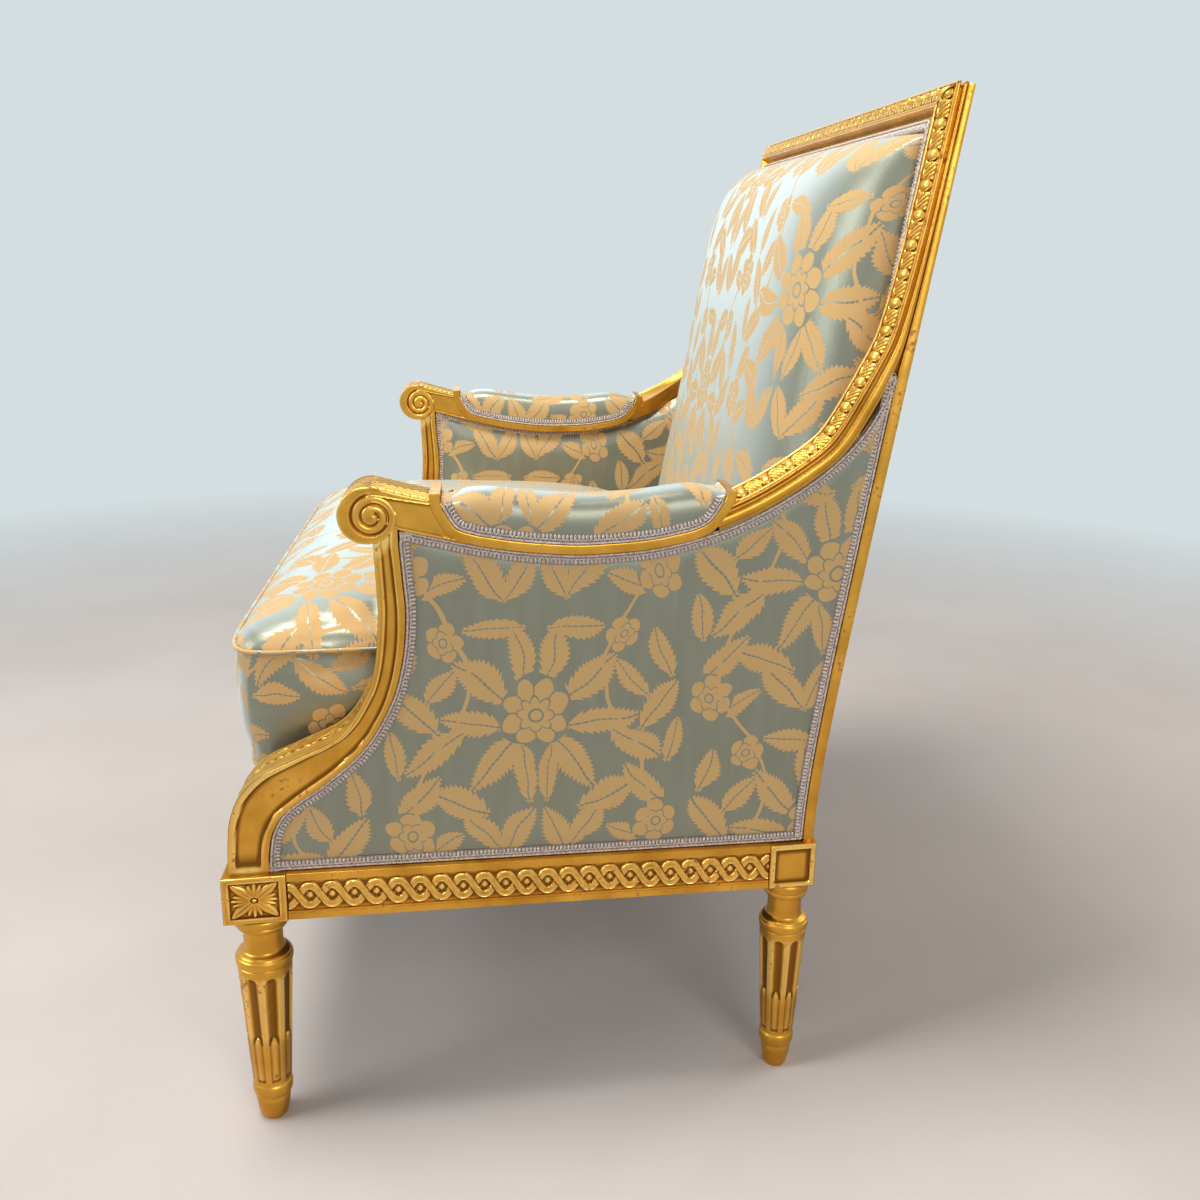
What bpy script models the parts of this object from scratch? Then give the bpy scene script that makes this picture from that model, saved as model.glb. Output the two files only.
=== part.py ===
"""Marquise chair: a wide gilded armchair with a raked back, closed sides and a loose seat cushion.

The chair faces -Y and stands on z = 0. Left and right are the sitter's, so left is +X.
Lengths are in metres. Depths (y) are drawn from the front legs' axis, and one empty then
brings the whole chair's middle over the origin.

The sides close in towards the back. A piece of a side is drawn in three numbers: how far it
stands out from the slanting side line (out), how deep it is (y) and how high (z).
"""

import math

import bmesh
import bpy
from mathutils import Vector

# Overall sizes
HEIGHT = 1.030
FRONT_WIDTH = 0.914
LEG_SPAN = 0.545
SIDE_TAPER = 0.100
GAP = 0.0003
STEP = 0.0006

# Seat rails and leg blocks
FRONT_BLOCK = 0.061
REAR_BLOCK = 0.050
RAIL_TOP = 0.2904
RAIL_HEIGHT = 0.050
SEAT_FALL = 0.009
RAIL_THICK = 0.038
RAIL_SET = 0.002
RAIL_BAND = 0.009
RAIL_BEAD = 0.010
RAIL_SINK = 0.0016
PANEL_FRAME = 0.008
PANEL_SINK = 0.002
BACK_RAIL_THICK = 0.036
BRACE_REACH = 0.066
BRACE_HEIGHT = 0.034
BRACE_LIFT = 0.010

# Turned and fluted legs
FLUTES = 8
FLUTE_HALF_ANGLE = math.radians(13.0)
FRONT_GIRTH = 0.0282
REAR_GIRTH = 0.0262
FLUTE_DEPTH = 0.0035
REED_DEPTH = 0.0012
REED_SHARE = 0.34
ANKLE_GIRTH = 0.70
SHAFT_GIRTH = 0.965
ANKLE = 0.047
COLLAR_DROP = 0.051
COLLAR_BAND = 0.008
FLUTE_END = 0.007
# Foot and ring, then collar to block: share of the girth, and height above the floor or the collar
LEG_FOOT = [(0.45, 0.0), (0.50, 0.004), (0.62, 0.024), (0.60, 0.030), (0.70, 0.0335), (0.70, 0.0435)]
LEG_COLLAR = [(0.98, -0.005), (1.0, 0.0), (0.97, 0.006), (0.70, 0.014), (0.69, 0.033), (0.86, 0.039)]
# Ring under the block: share of the block's size, and height from the block's foot
LEG_RING = [(0.48, -0.008), (0.48, 0.002)]

# Back frame
BACK_RAKE = 0.1555
RAKE_EASE = 0.090
STILE_START = 0.0225
STILE_DEPTH = 0.024
STILE_FOOT_DEPTH = 0.036
FRAME_FACE = 0.030
TONGUE = 0.013
FRONT_REBATE = 0.008
REAR_REBATE = 0.009
FRAME_SET = 0.006
BAND = 0.011
LIP_DEPTH = 0.0165
LIP_SWEEP = 0.015
LIP_EASE = 0.055
CARVED_WIDTH = 0.020
CARVED_CANT = 0.0105
COVE_FALL = 0.008
BLOCK_SEAT = 0.008
BACK_STEPS = 14
LOWER_BACK_RAIL_Z = 0.345
LOWER_BACK_RAIL_HEIGHT = 0.045

# Arms
ARM_WIDTH = 0.058
ARM_END_WIDTH = 0.030
ARM_DIP_Z = 0.600
ARM_THICK = 0.034
ARM_LIP = 0.0195
ARM_EDGE = 0.010
ARM_CORE = 0.014
ARM_REBATE = 0.006
LEDGE = 0.008
SCROLL_Y = 0.119
SCROLL_RISE = 0.042
SCROLL_RADIUS = 0.0265
SPIRAL_TURNS = 1.6
SPIRAL_RAISE = 0.0022
SPIRAL_WIDTH = 0.0040
EYE_RADIUS = 0.0052
CLIP_FRONT_Y = 0.180
CLIP_BACK_SET = 0.084
CLIP_WIDTH = 0.009
CLIP_RISE = 0.006
SWEEP_STEPS = 8
NECK_SINK = 0.0004
NECK_FRONT = -0.0115
NECK_BACK = 0.0205

# Arm supports
SUPPORT_WIDTH = 0.054
SUPPORT_HEAD_Y = 0.135

# Covers, pads and trimming
COVER = 0.005
OUTER_CROWN = 0.003
INNER_CROWN = 0.010
REBATE = 0.009
GIMP_WIDTH = 0.010
GIMP_THICK = 0.0033
GIMP_SET = 0.0008
INNER_CLEARANCE = 0.024
INNER_TOE = 0.011
ARM_PAD_TOP = 0.053
ARM_PAD_END = 0.030
# Arm pad's section above its braid: distance in from the arm's face, and share of its rise
ARM_PAD_SIDE = [(0.0002, 0.45), (0.0060, 0.82), (0.0160, 0.97)]
BACK_PAD_RISE = 0.093
BACK_PAD_BORDER = 0.0115
BACK_PAD_SQUARE = (5.0, 7.0)
BACK_PAD_FOOT_Z = 0.366
PLATFORM_TOP = 0.3615
PLATFORM_FRONT = 0.0255
PLATFORM_BACK_GAP = 0.012
OUTSIDE_BACK_THICK = 0.004
CUSHION_FRONT = 0.024
CUSHION_BULGE = 0.006
CUSHION_BACK_GAP = 0.009
CUSHION_SIDE = 0.072
CUSHION_BACK_SIDE = 0.070
CUSHION_SEAM_Z = 0.503
CUSHION_CROWN = 0.038
CUSHION_SQUARE = 3.0
CUSHION_CORNER = 15.0
PIPING = 0.003

# Webbing and hidden timber
WEB_WIDTH = 0.060
WEB_THICK = 0.0015
WEB_ROWS = 5
WEB_COLUMNS = 7
BATTEN_GAP = 0.012
BATTEN_HEIGHT = 0.026
BATTEN_START = 0.026
DUST_COVER = 0.0015
DUST_COVER_SET = 0.004

# Lines seen from the side
# Arm underside: share of the way from the scroll to the back, height above its lowest point
ARM_LINE = [(0.0, 0.028), (0.18, 0.0085), (0.31, 0.0008), (0.40, 0.0), (0.52, 0.0045), (0.65, 0.020),
            (0.76, 0.044), (0.86, 0.075), (0.94, 0.114), (1.0, 0.1676)]
# Support edges, foot to head: distance behind the front leg's axis, height above the rail
SUPPORT_EDGE_FRONT = [(-0.024, 0.0), (-0.0225, 0.030), (-0.019, 0.058), (-0.009, 0.082), (0.011, 0.102),
                      (0.046, 0.118), (0.084, 0.136), (0.106, 0.164), (0.120, 0.199), (0.126, 0.256),
                      (0.124, 0.324)]
SUPPORT_EDGE_BACK = [(0.014, 0.0), (0.0155, 0.024), (0.021, 0.046), (0.0355, 0.066), (0.072, 0.0915),
                     (0.109, 0.125), (0.135, 0.169), (0.147, 0.212), (0.151, 0.255), (0.149, 0.290),
                     (0.1465, 0.324)]

# Sizes that follow
SCROLL_Z = ARM_DIP_Z + SCROLL_RISE
CLIP_BACK_Y = LEG_SPAN - CLIP_BACK_SET


def clear_scene():
    for old in list(bpy.data.objects):
        bpy.data.objects.remove(old, do_unlink=True)


def make_material(name, colour, roughness, metallic):
    material = bpy.data.materials.new(name)
    material.use_nodes = True
    shader = material.node_tree.nodes["Principled BSDF"]
    shader.inputs["Base Color"].default_value = (*colour, 1.0)
    shader.inputs["Roughness"].default_value = roughness
    shader.inputs["Metallic"].default_value = metallic
    material.diffuse_color = (*colour, 1.0)
    return material


# Small geometry tools

def mix(a, b, share):
    return a + (b - a) * share


def ease(share):
    """A smooth step from 0 to 1."""
    share = min(max(share, 0.0), 1.0)
    return share * share * (3.0 - 2.0 * share)


def smooth_line(points, steps):
    """A Catmull-Rom curve through plane points, with a number of steps for each span."""
    guide = [points[0], *points, points[-1]]
    line = []
    for i in range(len(points) - 1):
        p0, p1, p2, p3 = (Vector(p) for p in guide[i:i + 4])
        for step in range(steps):
            t = step / steps
            line.append(0.5 * (2 * p1 + (p2 - p0) * t + (2 * p0 - 5 * p1 + 4 * p2 - p3) * t ** 2
                               + (3 * p1 - p0 - 3 * p2 + p3) * t ** 3))
    line.append(Vector(points[-1]))
    return line


def spread(count, border):
    """Shares from 0 to 1, with a narrow first and last step for a border."""
    return [0.0] + [mix(border, 1.0 - border, i / (count - 3)) for i in range(count - 2)] + [1.0]


def resample(line, shares):
    """Points at the given shares of a line's length."""
    lengths = [0.0]
    for a, b in zip(line, line[1:]):
        lengths.append(lengths[-1] + (b - a).length)
    result = []
    for share in shares:
        target = lengths[-1] * share
        span = max(i for i in range(len(line) - 1) if i == 0 or lengths[i] <= target)
        way = (target - lengths[span]) / (lengths[span + 1] - lengths[span])
        result.append(line[span].lerp(line[span + 1], min(way, 1.0)))
    return result


PANEL_COLUMNS = spread(15, 0.030)
PANEL_ROWS = spread(11, 0.045)


def offset_line(line, distance, closed=False):
    """A plane line moved to its right, with mitred corners."""
    moved = []
    last = len(line) - 1
    for i, point in enumerate(line):
        before = line[i - 1] if i > 0 or closed else None
        after = line[(i + 1) % len(line)] if i < last or closed else None
        ways = []
        if before is not None:
            ways.append((point - before).normalized())
        if after is not None:
            ways.append((after - point).normalized())
        sides = [Vector((way.y, -way.x)) for way in ways]
        middle = sum(sides, Vector((0.0, 0.0))).normalized()
        moved.append(point + middle * distance / max(middle.dot(sides[0]), 0.125))
    return moved


def body_from(verts, faces):
    """A closed body whose faces all point outwards."""
    bm = bmesh.new()
    made = [bm.verts.new(v) for v in verts]
    for face in faces:
        bm.faces.new([made[i] for i in face])
    bmesh.ops.recalc_face_normals(bm, faces=bm.faces)
    return bm


def loft(rings):
    """Skin a row of rings with equal numbers of points, and cap both ends."""
    size = len(rings[0])
    verts = [point for ring in rings for point in ring]
    faces = []
    for i in range(len(rings) - 1):
        for j in range(size):
            k = (j + 1) % size
            faces.append((i * size + j, i * size + k, (i + 1) * size + k, (i + 1) * size + j))
    faces.append(tuple(range(size)))
    faces.append(tuple(range(len(verts) - size, len(verts))))
    return body_from(verts, faces)


def shell_on(grid, rim):
    """A grid's surface, walled down to a second rim, which one flat face closes."""
    rows, columns = len(grid), len(grid[0])
    verts = [point for row in grid for point in row] + list(rim)
    faces = []
    for i in range(rows - 1):
        for j in range(columns - 1):
            a = i * columns + j
            faces.append((a, a + 1, a + columns + 1, a + columns))
    edge = rim_indices(rows, columns)
    first = rows * columns
    for n, start in enumerate(edge):
        m = (n + 1) % len(edge)
        faces.append((start, edge[m], first + m, first + n))
    faces.append(tuple(range(first, first + len(edge))))
    return body_from(verts, faces)


def rim_indices(rows, columns):
    """The grid points on the rim, once round."""
    bottom = list(range(columns))
    right = [i * columns + columns - 1 for i in range(1, rows)]
    top = [(rows - 1) * columns + j for j in range(columns - 2, -1, -1)]
    left = [i * columns for i in range(rows - 2, 0, -1)]
    return bottom + right + top + left


def rim_of(grid):
    flat = [point for row in grid for point in row]
    return [flat[i] for i in rim_indices(len(grid), len(grid[0]))]


def patch(edges):
    """A Coons patch: plane points spread between four edges that meet at the corners."""
    bottom, top, front, back = edges
    grid = []
    for i, v in enumerate(PANEL_ROWS):
        row = []
        for j, u in enumerate(PANEL_COLUMNS):
            rails = bottom[j].lerp(top[j], v) + front[i].lerp(back[i], u)
            corners = bottom[0].lerp(bottom[-1], u).lerp(top[0].lerp(top[-1], u), v)
            row.append(rails - corners)
        grid.append(row)
    return grid


def mesh_of(bm, name):
    mesh = bpy.data.meshes.new(name)
    bm.to_mesh(mesh)
    return mesh


def combined(body, tools, operation):
    """The body after each tool is joined to it (UNION) or cut from it (DIFFERENCE)."""
    base = bpy.data.objects.new("workpiece", mesh_of(body, "workpiece"))
    bpy.context.scene.collection.objects.link(base)
    helpers = []
    for tool in tools:
        helper = bpy.data.objects.new("tool", mesh_of(tool, "tool"))
        bpy.context.scene.collection.objects.link(helper)
        helpers.append(helper)
        step = base.modifiers.new("step", "BOOLEAN")
        step.operation = operation
        step.solver = "EXACT"
        step.object = helper
    bpy.context.view_layer.update()
    evaluated = base.evaluated_get(bpy.context.evaluated_depsgraph_get())
    result = bmesh.new()
    result.from_mesh(evaluated.to_mesh())
    for helper in [base, *helpers]:
        bpy.data.objects.remove(helper, do_unlink=True)
    return result


def add_piece(name, bm, material, parent, place=(0.0, 0.0, 0.0)):
    """One named sub-part, with its origin at its place on the chair."""
    bmesh.ops.translate(bm, verts=bm.verts, vec=-Vector(place))
    mesh = mesh_of(bm, name)
    mesh.materials.append(material)
    mesh.shade_smooth()
    mesh.set_sharp_from_angle(angle=math.radians(35))
    piece = bpy.data.objects.new(name, mesh)
    bpy.context.scene.collection.objects.link(piece)
    piece.parent = parent
    piece.location = place
    return piece


def add_pair(name, bm, material, parent, place=(0.0, 0.0, 0.0)):
    """The left piece as drawn, and its mirror image on the right."""
    twin = bm.copy()
    for vert in twin.verts:
        vert.co.x = -vert.co.x
    bmesh.ops.reverse_faces(twin, faces=twin.faces)
    add_piece(name + "_left", bm, material, parent, place)
    add_piece(name + "_right", twin, material, parent, (-place[0], place[1], place[2]))


# The chair's own lines

def side_x(y, out=0.0):
    """The x of a point on the left side, a distance out from the side line."""
    return FRONT_WIDTH / 2 - SIDE_TAPER * y + out


def on_side(out, y, z):
    return (side_x(y, out), y, z)


def rail_top(y):
    """Top of the seat rails, which fall a little from the front blocks to the rear ones."""
    start, end = FRONT_BLOCK / 2, LEG_SPAN - REAR_BLOCK / 2
    return RAIL_TOP - SEAT_FALL * min(max((y - start) / (end - start), 0.0), 1.0)


def rail_bottom(y):
    return rail_top(y) - RAIL_HEIGHT


def lean_at(z):
    """How far the stile's back edge has leant back at a height, and its slope there."""
    rise = z - rail_top(LEG_SPAN)
    reach = math.hypot(rise, RAKE_EASE)
    return BACK_RAKE * (reach - RAKE_EASE), BACK_RAKE * rise / reach


def back_station(z):
    """Back edge, forward direction, stile depth and lip depth at a height, on the smooth curve."""
    lean, slope = lean_at(z)
    edge = Vector((LEG_SPAN + STILE_START + lean, z))
    forward = Vector((-1.0, slope)).normalized()
    depth = mix(STILE_FOOT_DEPTH, STILE_DEPTH, ease((z - RAIL_TOP) / (arm_apex_z() - RAIL_TOP)))
    lip = LIP_DEPTH + LIP_SWEEP * math.exp(-max(z - arm_joint_z(), 0.0) / LIP_EASE)
    return edge, forward, depth, lip


def back_heights():
    """Heights of the back's stations, closest together at the foot, where it bends most."""
    foot = rail_top(LEG_SPAN) - BLOCK_SEAT
    return [mix(foot, HEIGHT, (i / BACK_STEPS) ** 1.4) for i in range(BACK_STEPS + 1)]


def back_blend(z):
    """The back's station at any height, in a straight line between the two nearest."""
    heights = back_heights()
    span = max(i for i in range(BACK_STEPS) if i == 0 or heights[i] <= z)
    share = (z - heights[span]) / (heights[span + 1] - heights[span])
    low, high = back_station(heights[span]), back_station(heights[span + 1])
    return [mix(a, b, share) for a, b in zip(low, high)]


def back_point(z, depth):
    """A point of the raked back: up the stile's back edge, then square to it, forwards."""
    edge, forward = back_blend(z)[:2]
    return edge + forward * depth


def stile_depth(z):
    """Depth of the stile, from its foot on the block to the free part above the arm."""
    return back_blend(z)[2]


def lip_depth(z):
    """Depth of the outer lip of the carved front, which sweeps forward above the arm."""
    return back_blend(z)[3]


def heights_between(foot, top):
    return [foot] + [z for z in back_heights() if foot + 0.001 < z < top - 0.001] + [top]


def arm_apex_z():
    return ARM_DIP_Z + ARM_LINE[-1][1]


def arm_joint_z():
    """Height of the shoulder under which the arm's upper end seats."""
    return arm_apex_z() - BAND * BACK_RAKE


def arm_line(steps=3):
    """The visible lower edge of the arm, from the support to the stile's plain band."""
    start = SCROLL_Y + SCROLL_RADIUS + 0.003
    end = back_point(arm_apex_z(), BAND).x
    points = [(mix(start, end, share), ARM_DIP_Z + rise) for share, rise in ARM_LINE]
    return smooth_line(points, steps)


def support_edge(points, steps=3):
    """A support edge, stretched to reach from the rail to under the scroll."""
    drawn_head = (SUPPORT_EDGE_FRONT[-1][0] + SUPPORT_EDGE_BACK[-1][0]) / 2
    drawn_height = points[-1][1]
    height = SCROLL_Z - SCROLL_RADIUS - 0.001 - RAIL_TOP
    shift = SUPPORT_HEAD_Y - drawn_head
    placed = [(y + shift * h / drawn_height, RAIL_TOP + GAP + h * height / drawn_height) for y, h in points]
    return smooth_line(placed, steps)


def outer_panel_edges():
    """The four edges of the outside panel: on the rail, the arm, the support and the stile."""
    front_line = support_edge(SUPPORT_EDGE_BACK)
    top_line = arm_line()
    front_line.append(top_line[0])
    floor_y = front_line[0].x
    apex = top_line[-1]
    back_line = []
    for i in range(12):
        back_line.append(back_point(mix(rail_top(LEG_SPAN), apex.y - BAND * BACK_RAKE, i / 12), BAND))
    back_line.append(apex)
    floor = [Vector((y, rail_top(y) + GAP)) for y in
             (floor_y, FRONT_BLOCK / 2, LEG_SPAN - REAR_BLOCK / 2, back_line[0].x)]
    front_line[0] = floor[0].copy()
    back_line[0] = floor[-1].copy()
    return (resample(floor, PANEL_COLUMNS), resample(top_line, PANEL_COLUMNS),
            resample(front_line, PANEL_ROWS), resample(back_line, PANEL_ROWS))


def pad_face_depth(z):
    """Depth at which the back pad's stuffing lies on the frame's rebate."""
    return stile_depth(z) - FRONT_REBATE


def inner_panel_edges():
    """The same for the inside panel, which stops where the back pad begins."""
    clearance = stile_depth(RAIL_TOP) + INNER_CLEARANCE
    lift = 3 * WEB_THICK
    front_line = support_edge(SUPPORT_EDGE_BACK)
    top_line = [arm_line()[0]]
    for point in arm_line()[1:]:
        if point.x > back_point(point.y, clearance).x:
            break
        top_line.append(point)
    front_line.append(top_line[0])
    corner = top_line[-1]
    floor_y = front_line[0].x
    back_line = [back_point(mix(rail_top(LEG_SPAN), corner.y, i / 10), clearance) for i in range(10)]
    back_line.append(corner)
    floor = [Vector((y, rail_top(y) + lift)) for y in (floor_y, FRONT_BLOCK / 2, back_line[0].x)]
    front_line[0] = floor[0].copy()
    back_line[0] = floor[-1].copy()
    return (resample(floor, PANEL_COLUMNS), resample(top_line, PANEL_COLUMNS),
            resample(front_line, PANEL_ROWS), resample(back_line, PANEL_ROWS))


def loop_of(edges):
    """One closed line round the four edges: floor, back, top and front."""
    bottom, top, front, back = edges
    return bottom[:-1] + back[:-1] + top[:0:-1] + front[:0:-1]


def inner_out(y):
    """How far in from the side line the inside panel's backing lies: it turns in a little."""
    front = -(FRAME_SET + SUPPORT_WIDTH - REBATE)
    return mix(front, front + INNER_TOE, (y - SCROLL_Y) / (LEG_SPAN - SCROLL_Y))


def cutter_for(edges, near, far):
    """A block with the panel's outline, one gap larger, from one distance out to another."""
    outline = offset_line(loop_of(edges), GAP, closed=True)
    rings = []
    for out in (near, far):
        rings.append([on_side(out(p.x), p.x, p.y) for p in outline])
    return loft(rings)


def outer_cutter():
    edges = outer_panel_edges()
    return cutter_for(edges, lambda y: -(FRAME_SET + REBATE), lambda y: 0.02)


def inner_cutter():
    edges = inner_panel_edges()
    return cutter_for(edges, lambda y: inner_out(y) + GAP, lambda y: -0.15)


# Legs and rails

def turned_leg(top, girth, block, centre):
    """A turned and fluted leg: foot, ring, tapering fluted shaft, collar, neck and ring."""
    slim, full = girth * ANKLE_GIRTH, girth * SHAFT_GIRTH
    collar = top - COLLAR_DROP
    shaft = collar - COLLAR_BAND
    reeds = mix(ANKLE, shaft, REED_SHARE)
    rows = [(girth * share, height, 0.0) for share, height in LEG_FOOT]
    rows.append((slim * SHAFT_GIRTH, ANKLE, 0.0))
    for height, depth in ((ANKLE + 0.003, REED_DEPTH), (reeds - 0.002, REED_DEPTH), (reeds + 0.002, FLUTE_DEPTH),
                          (shaft - 2 * FLUTE_END, FLUTE_DEPTH), (shaft - FLUTE_END, 0.0), (shaft, 0.0)):
        rows.append((mix(slim, full, (height - ANKLE) / (shaft - ANKLE)), height, depth))
    rows.extend([(girth * share, collar + rise, 0.0) for share, rise in LEG_COLLAR])
    rows.extend([(block * share, top + rise, 0.0) for share, rise in LEG_RING])
    rings = []
    for radius, z, depth in rows:
        ring = []
        for flute in range(FLUTES):
            middle = 2 * math.pi * (flute + 0.5) / FLUTES
            for turn, share in ((-1, 0.0), (0, 1.0), (1, 0.0)):
                angle = middle + turn * FLUTE_HALF_ANGLE
                reach = radius - depth * share
                ring.append((centre[0] + reach * math.cos(angle), centre[1] + reach * math.sin(angle), z))
        rings.append(ring)
    return loft(rings)


def leg_block(y, size, top, bottom):
    """The square block over a leg, its outer face on the side line."""
    half = size / 2
    corners = [(y - half, 0.0), (y + half, 0.0), (y + half, -size), (y - half, -size)]
    block = loft([[on_side(out, depth, z) for depth, out in corners] for z in (bottom, top)])
    return block


def sink_panels(block, directions):
    """Frame and sink a panel in the faces that look the given ways."""
    for way in directions:
        face = max(block.faces, key=lambda f: f.normal.dot(Vector(way)) * f.calc_area())
        bmesh.ops.inset_individual(block, faces=[face], thickness=PANEL_FRAME)
        bmesh.ops.inset_individual(block, faces=[face], thickness=PANEL_SINK, depth=-PANEL_SINK)


def front_legs(gilt, parent):
    centre = (side_x(0.0, -FRONT_BLOCK / 2), 0.0)
    block = leg_block(0.0, FRONT_BLOCK, RAIL_TOP, RAIL_TOP - RAIL_HEIGHT)
    sink_panels(block, [(1.0, 0.1, 0.0), (0.0, -1.0, 0.0)])
    leg = combined(turned_leg(RAIL_TOP - RAIL_HEIGHT, FRONT_GIRTH, FRONT_BLOCK, centre), [block], "UNION")
    add_pair("front_leg", leg, gilt, parent, (*centre, 0.0))


def canted_front(lip):
    """The frame's carved front: width from the outer edge, and depth. It is canted, then coved."""
    return [(0.0, lip), (CARVED_WIDTH, lip + CARVED_CANT), (FRAME_FACE, lip + CARVED_CANT - COVE_FALL)]


def stile_section(z, shouldered):
    """The stile's section, out and depth: canted in front above the arm, square below it."""
    depth = stile_depth(z)
    face = -(FRAME_SET + FRAME_FACE)
    tongue = face - TONGUE
    front = [(0.0, depth), (CARVED_WIDTH, depth), (FRAME_FACE, depth)]
    if shouldered:
        front = canted_front(lip_depth(z))
    section = [(-FRAME_SET, 0.0)] + [(-FRAME_SET - width, inward) for width, inward in front]
    return section + [(face, depth - FRONT_REBATE), (tongue, depth - FRONT_REBATE), (tongue, REAR_REBATE),
                      (face, REAR_REBATE), (face, 0.0)]


def rear_stile():
    """The raked stile, rebated for the back pad and the outside back, with a shoulder over the arm."""
    foot, shoulder, crest = rail_top(LEG_SPAN) - BLOCK_SEAT, arm_joint_z(), crest_z()
    plan = [(z, False) for z in heights_between(foot, shoulder - STEP)]
    plan += [(z, True) for z in heights_between(shoulder, crest)]
    rings = []
    for z, shouldered in plan:
        ring = []
        for out, inward in stile_section(z, shouldered):
            point = back_point(z, inward)
            ring.append(on_side(out, point.x, point.y))
        rings.append(ring)
    return loft(rings)


def top_rail_seat():
    """The room that the stile's tongue leaves for the top rail's end."""
    rings = []
    for z in (crest_z() - FRAME_FACE - TONGUE - GAP, HEIGHT + 0.02):
        ring = []
        for out, depth in ((0.0, -0.02), (0.0, STILE_DEPTH + 0.02), (-0.04, STILE_DEPTH + 0.02), (-0.04, -0.02)):
            point = back_point(z, depth)
            ring.append(on_side(out - FRAME_SET - FRAME_FACE, point.x, point.y))
        rings.append(ring)
    return loft(rings)


def rear_legs(gilt, parent):
    """Leg, block and stile are one timber, as in the real chair."""
    axis_y = LEG_SPAN
    centre = (side_x(axis_y, -REAR_BLOCK / 2), axis_y)
    top = rail_top(axis_y)
    block = leg_block(axis_y, REAR_BLOCK, top, top - RAIL_HEIGHT)
    sink_panels(block, [(1.0, 0.1, 0.0)])
    leg = combined(turned_leg(top - RAIL_HEIGHT, REAR_GIRTH, REAR_BLOCK, centre), [block, rear_stile()], "UNION")
    leg = combined(leg, [outer_cutter(), top_rail_seat()], "DIFFERENCE")
    add_pair("rear_leg", leg, gilt, parent, (*centre, 0.0))


def rail_section(top, bottom, thick):
    """Moulded rail section: plain band, sunk field for the carving, and a bead. Out and height."""
    face = -RAIL_SET
    sunk = face - RAIL_SINK
    return [(face, top), (face, top - RAIL_BAND), (sunk, top - RAIL_BAND - RAIL_SINK),
            (sunk, bottom + RAIL_BEAD + RAIL_SINK), (face, bottom + RAIL_BEAD), (face, bottom),
            (-thick, bottom), (-thick, top)]


def side_rails(gilt, parent):
    rings = []
    for y in (FRONT_BLOCK / 2 + GAP, LEG_SPAN - REAR_BLOCK / 2 - GAP):
        rings.append([on_side(out, y, z) for out, z in rail_section(rail_top(y), rail_bottom(y), RAIL_THICK)])
    add_pair("side_rail", loft(rings), gilt, parent)


def front_rail(gilt, parent):
    rings = []
    for side in (-1, 1):
        ring = []
        for out, z in rail_section(RAIL_TOP, RAIL_TOP - RAIL_HEIGHT, RAIL_THICK):
            y = -FRONT_BLOCK / 2 - out
            ring.append((side * side_x(y, -FRONT_BLOCK - GAP), y, z))
        rings.append(ring)
    add_piece("front_rail", loft(rings), gilt, parent)


def back_rail(gilt, parent):
    top = rail_top(LEG_SPAN)
    near, far = LEG_SPAN + REAR_BLOCK / 2 - RAIL_SET - BACK_RAIL_THICK, LEG_SPAN + REAR_BLOCK / 2 - RAIL_SET
    rings = []
    for side in (-1, 1):
        corners = [(near, top - RAIL_HEIGHT), (far, top - RAIL_HEIGHT), (far, top), (near, top)]
        rings.append([(side * side_x(y, -REAR_BLOCK - GAP), y, z) for y, z in corners])
    add_piece("back_rail", loft(rings), gilt, parent)


def corner_braces(beech, parent):
    """Notched three-cornered blocks glued into the seat corners."""
    side_face = -RAIL_THICK - GAP
    front_face = -FRONT_BLOCK / 2 + RAIL_THICK + GAP
    back_face = LEG_SPAN + REAR_BLOCK / 2 - RAIL_SET - BACK_RAIL_THICK - GAP
    front_notch = FRONT_BLOCK / 2 + GAP
    back_notch = LEG_SPAN - REAR_BLOCK / 2 - GAP
    plans = {
        "corner_brace_front": [(side_face, front_notch), (side_face, front_notch + BRACE_REACH),
                               (-FRONT_BLOCK - GAP - BRACE_REACH, front_face),
                               (-FRONT_BLOCK - GAP, front_face), (-FRONT_BLOCK - GAP, front_notch)],
        "corner_brace_rear": [(side_face, back_notch), (side_face, back_notch - BRACE_REACH),
                              (-REAR_BLOCK - GAP - BRACE_REACH, back_face),
                              (-REAR_BLOCK - GAP, back_face), (-REAR_BLOCK - GAP, back_notch)],
    }
    for name, plan in plans.items():
        rings = []
        for lift in (0.0, BRACE_HEIGHT):
            rings.append([on_side(out, y, rail_bottom(LEG_SPAN) + BRACE_LIFT + lift) for out, y in plan])
        add_pair(name, loft(rings), beech, parent)


# Arms

def arm_width(y):
    """Width of the arm: full as far as the back of its pad, then narrowing before the back pad."""
    return mix(ARM_WIDTH, ARM_END_WIDTH, ease((y - CLIP_BACK_Y) / (LEG_SPAN - CLIP_BACK_Y)))


def scroll_spiral(face_out, outward):
    """The raised fillet that winds from the scroll's rim into its eye, on one face."""
    steps = 22
    start = math.radians(90)
    rings = []
    for i in range(steps + 1):
        share = i / steps
        radius = mix(SCROLL_RADIUS - SPIRAL_WIDTH / 2 - 0.0006, EYE_RADIUS + 0.001, share)
        half = mix(SPIRAL_WIDTH, SPIRAL_WIDTH * 0.6, share) / 2
        angle = start + share * SPIRAL_TURNS * 2 * math.pi
        ring = []
        for reach, raise_by in ((-half, -0.001), (half, -0.001), (half * 0.5, SPIRAL_RAISE),
                                (-half * 0.5, SPIRAL_RAISE)):
            y = SCROLL_Y + (radius + reach) * math.cos(angle)
            z = SCROLL_Z + (radius + reach) * math.sin(angle)
            ring.append(on_side(face_out + outward * raise_by, y, z))
        rings.append(ring)
    return loft(rings)


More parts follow.
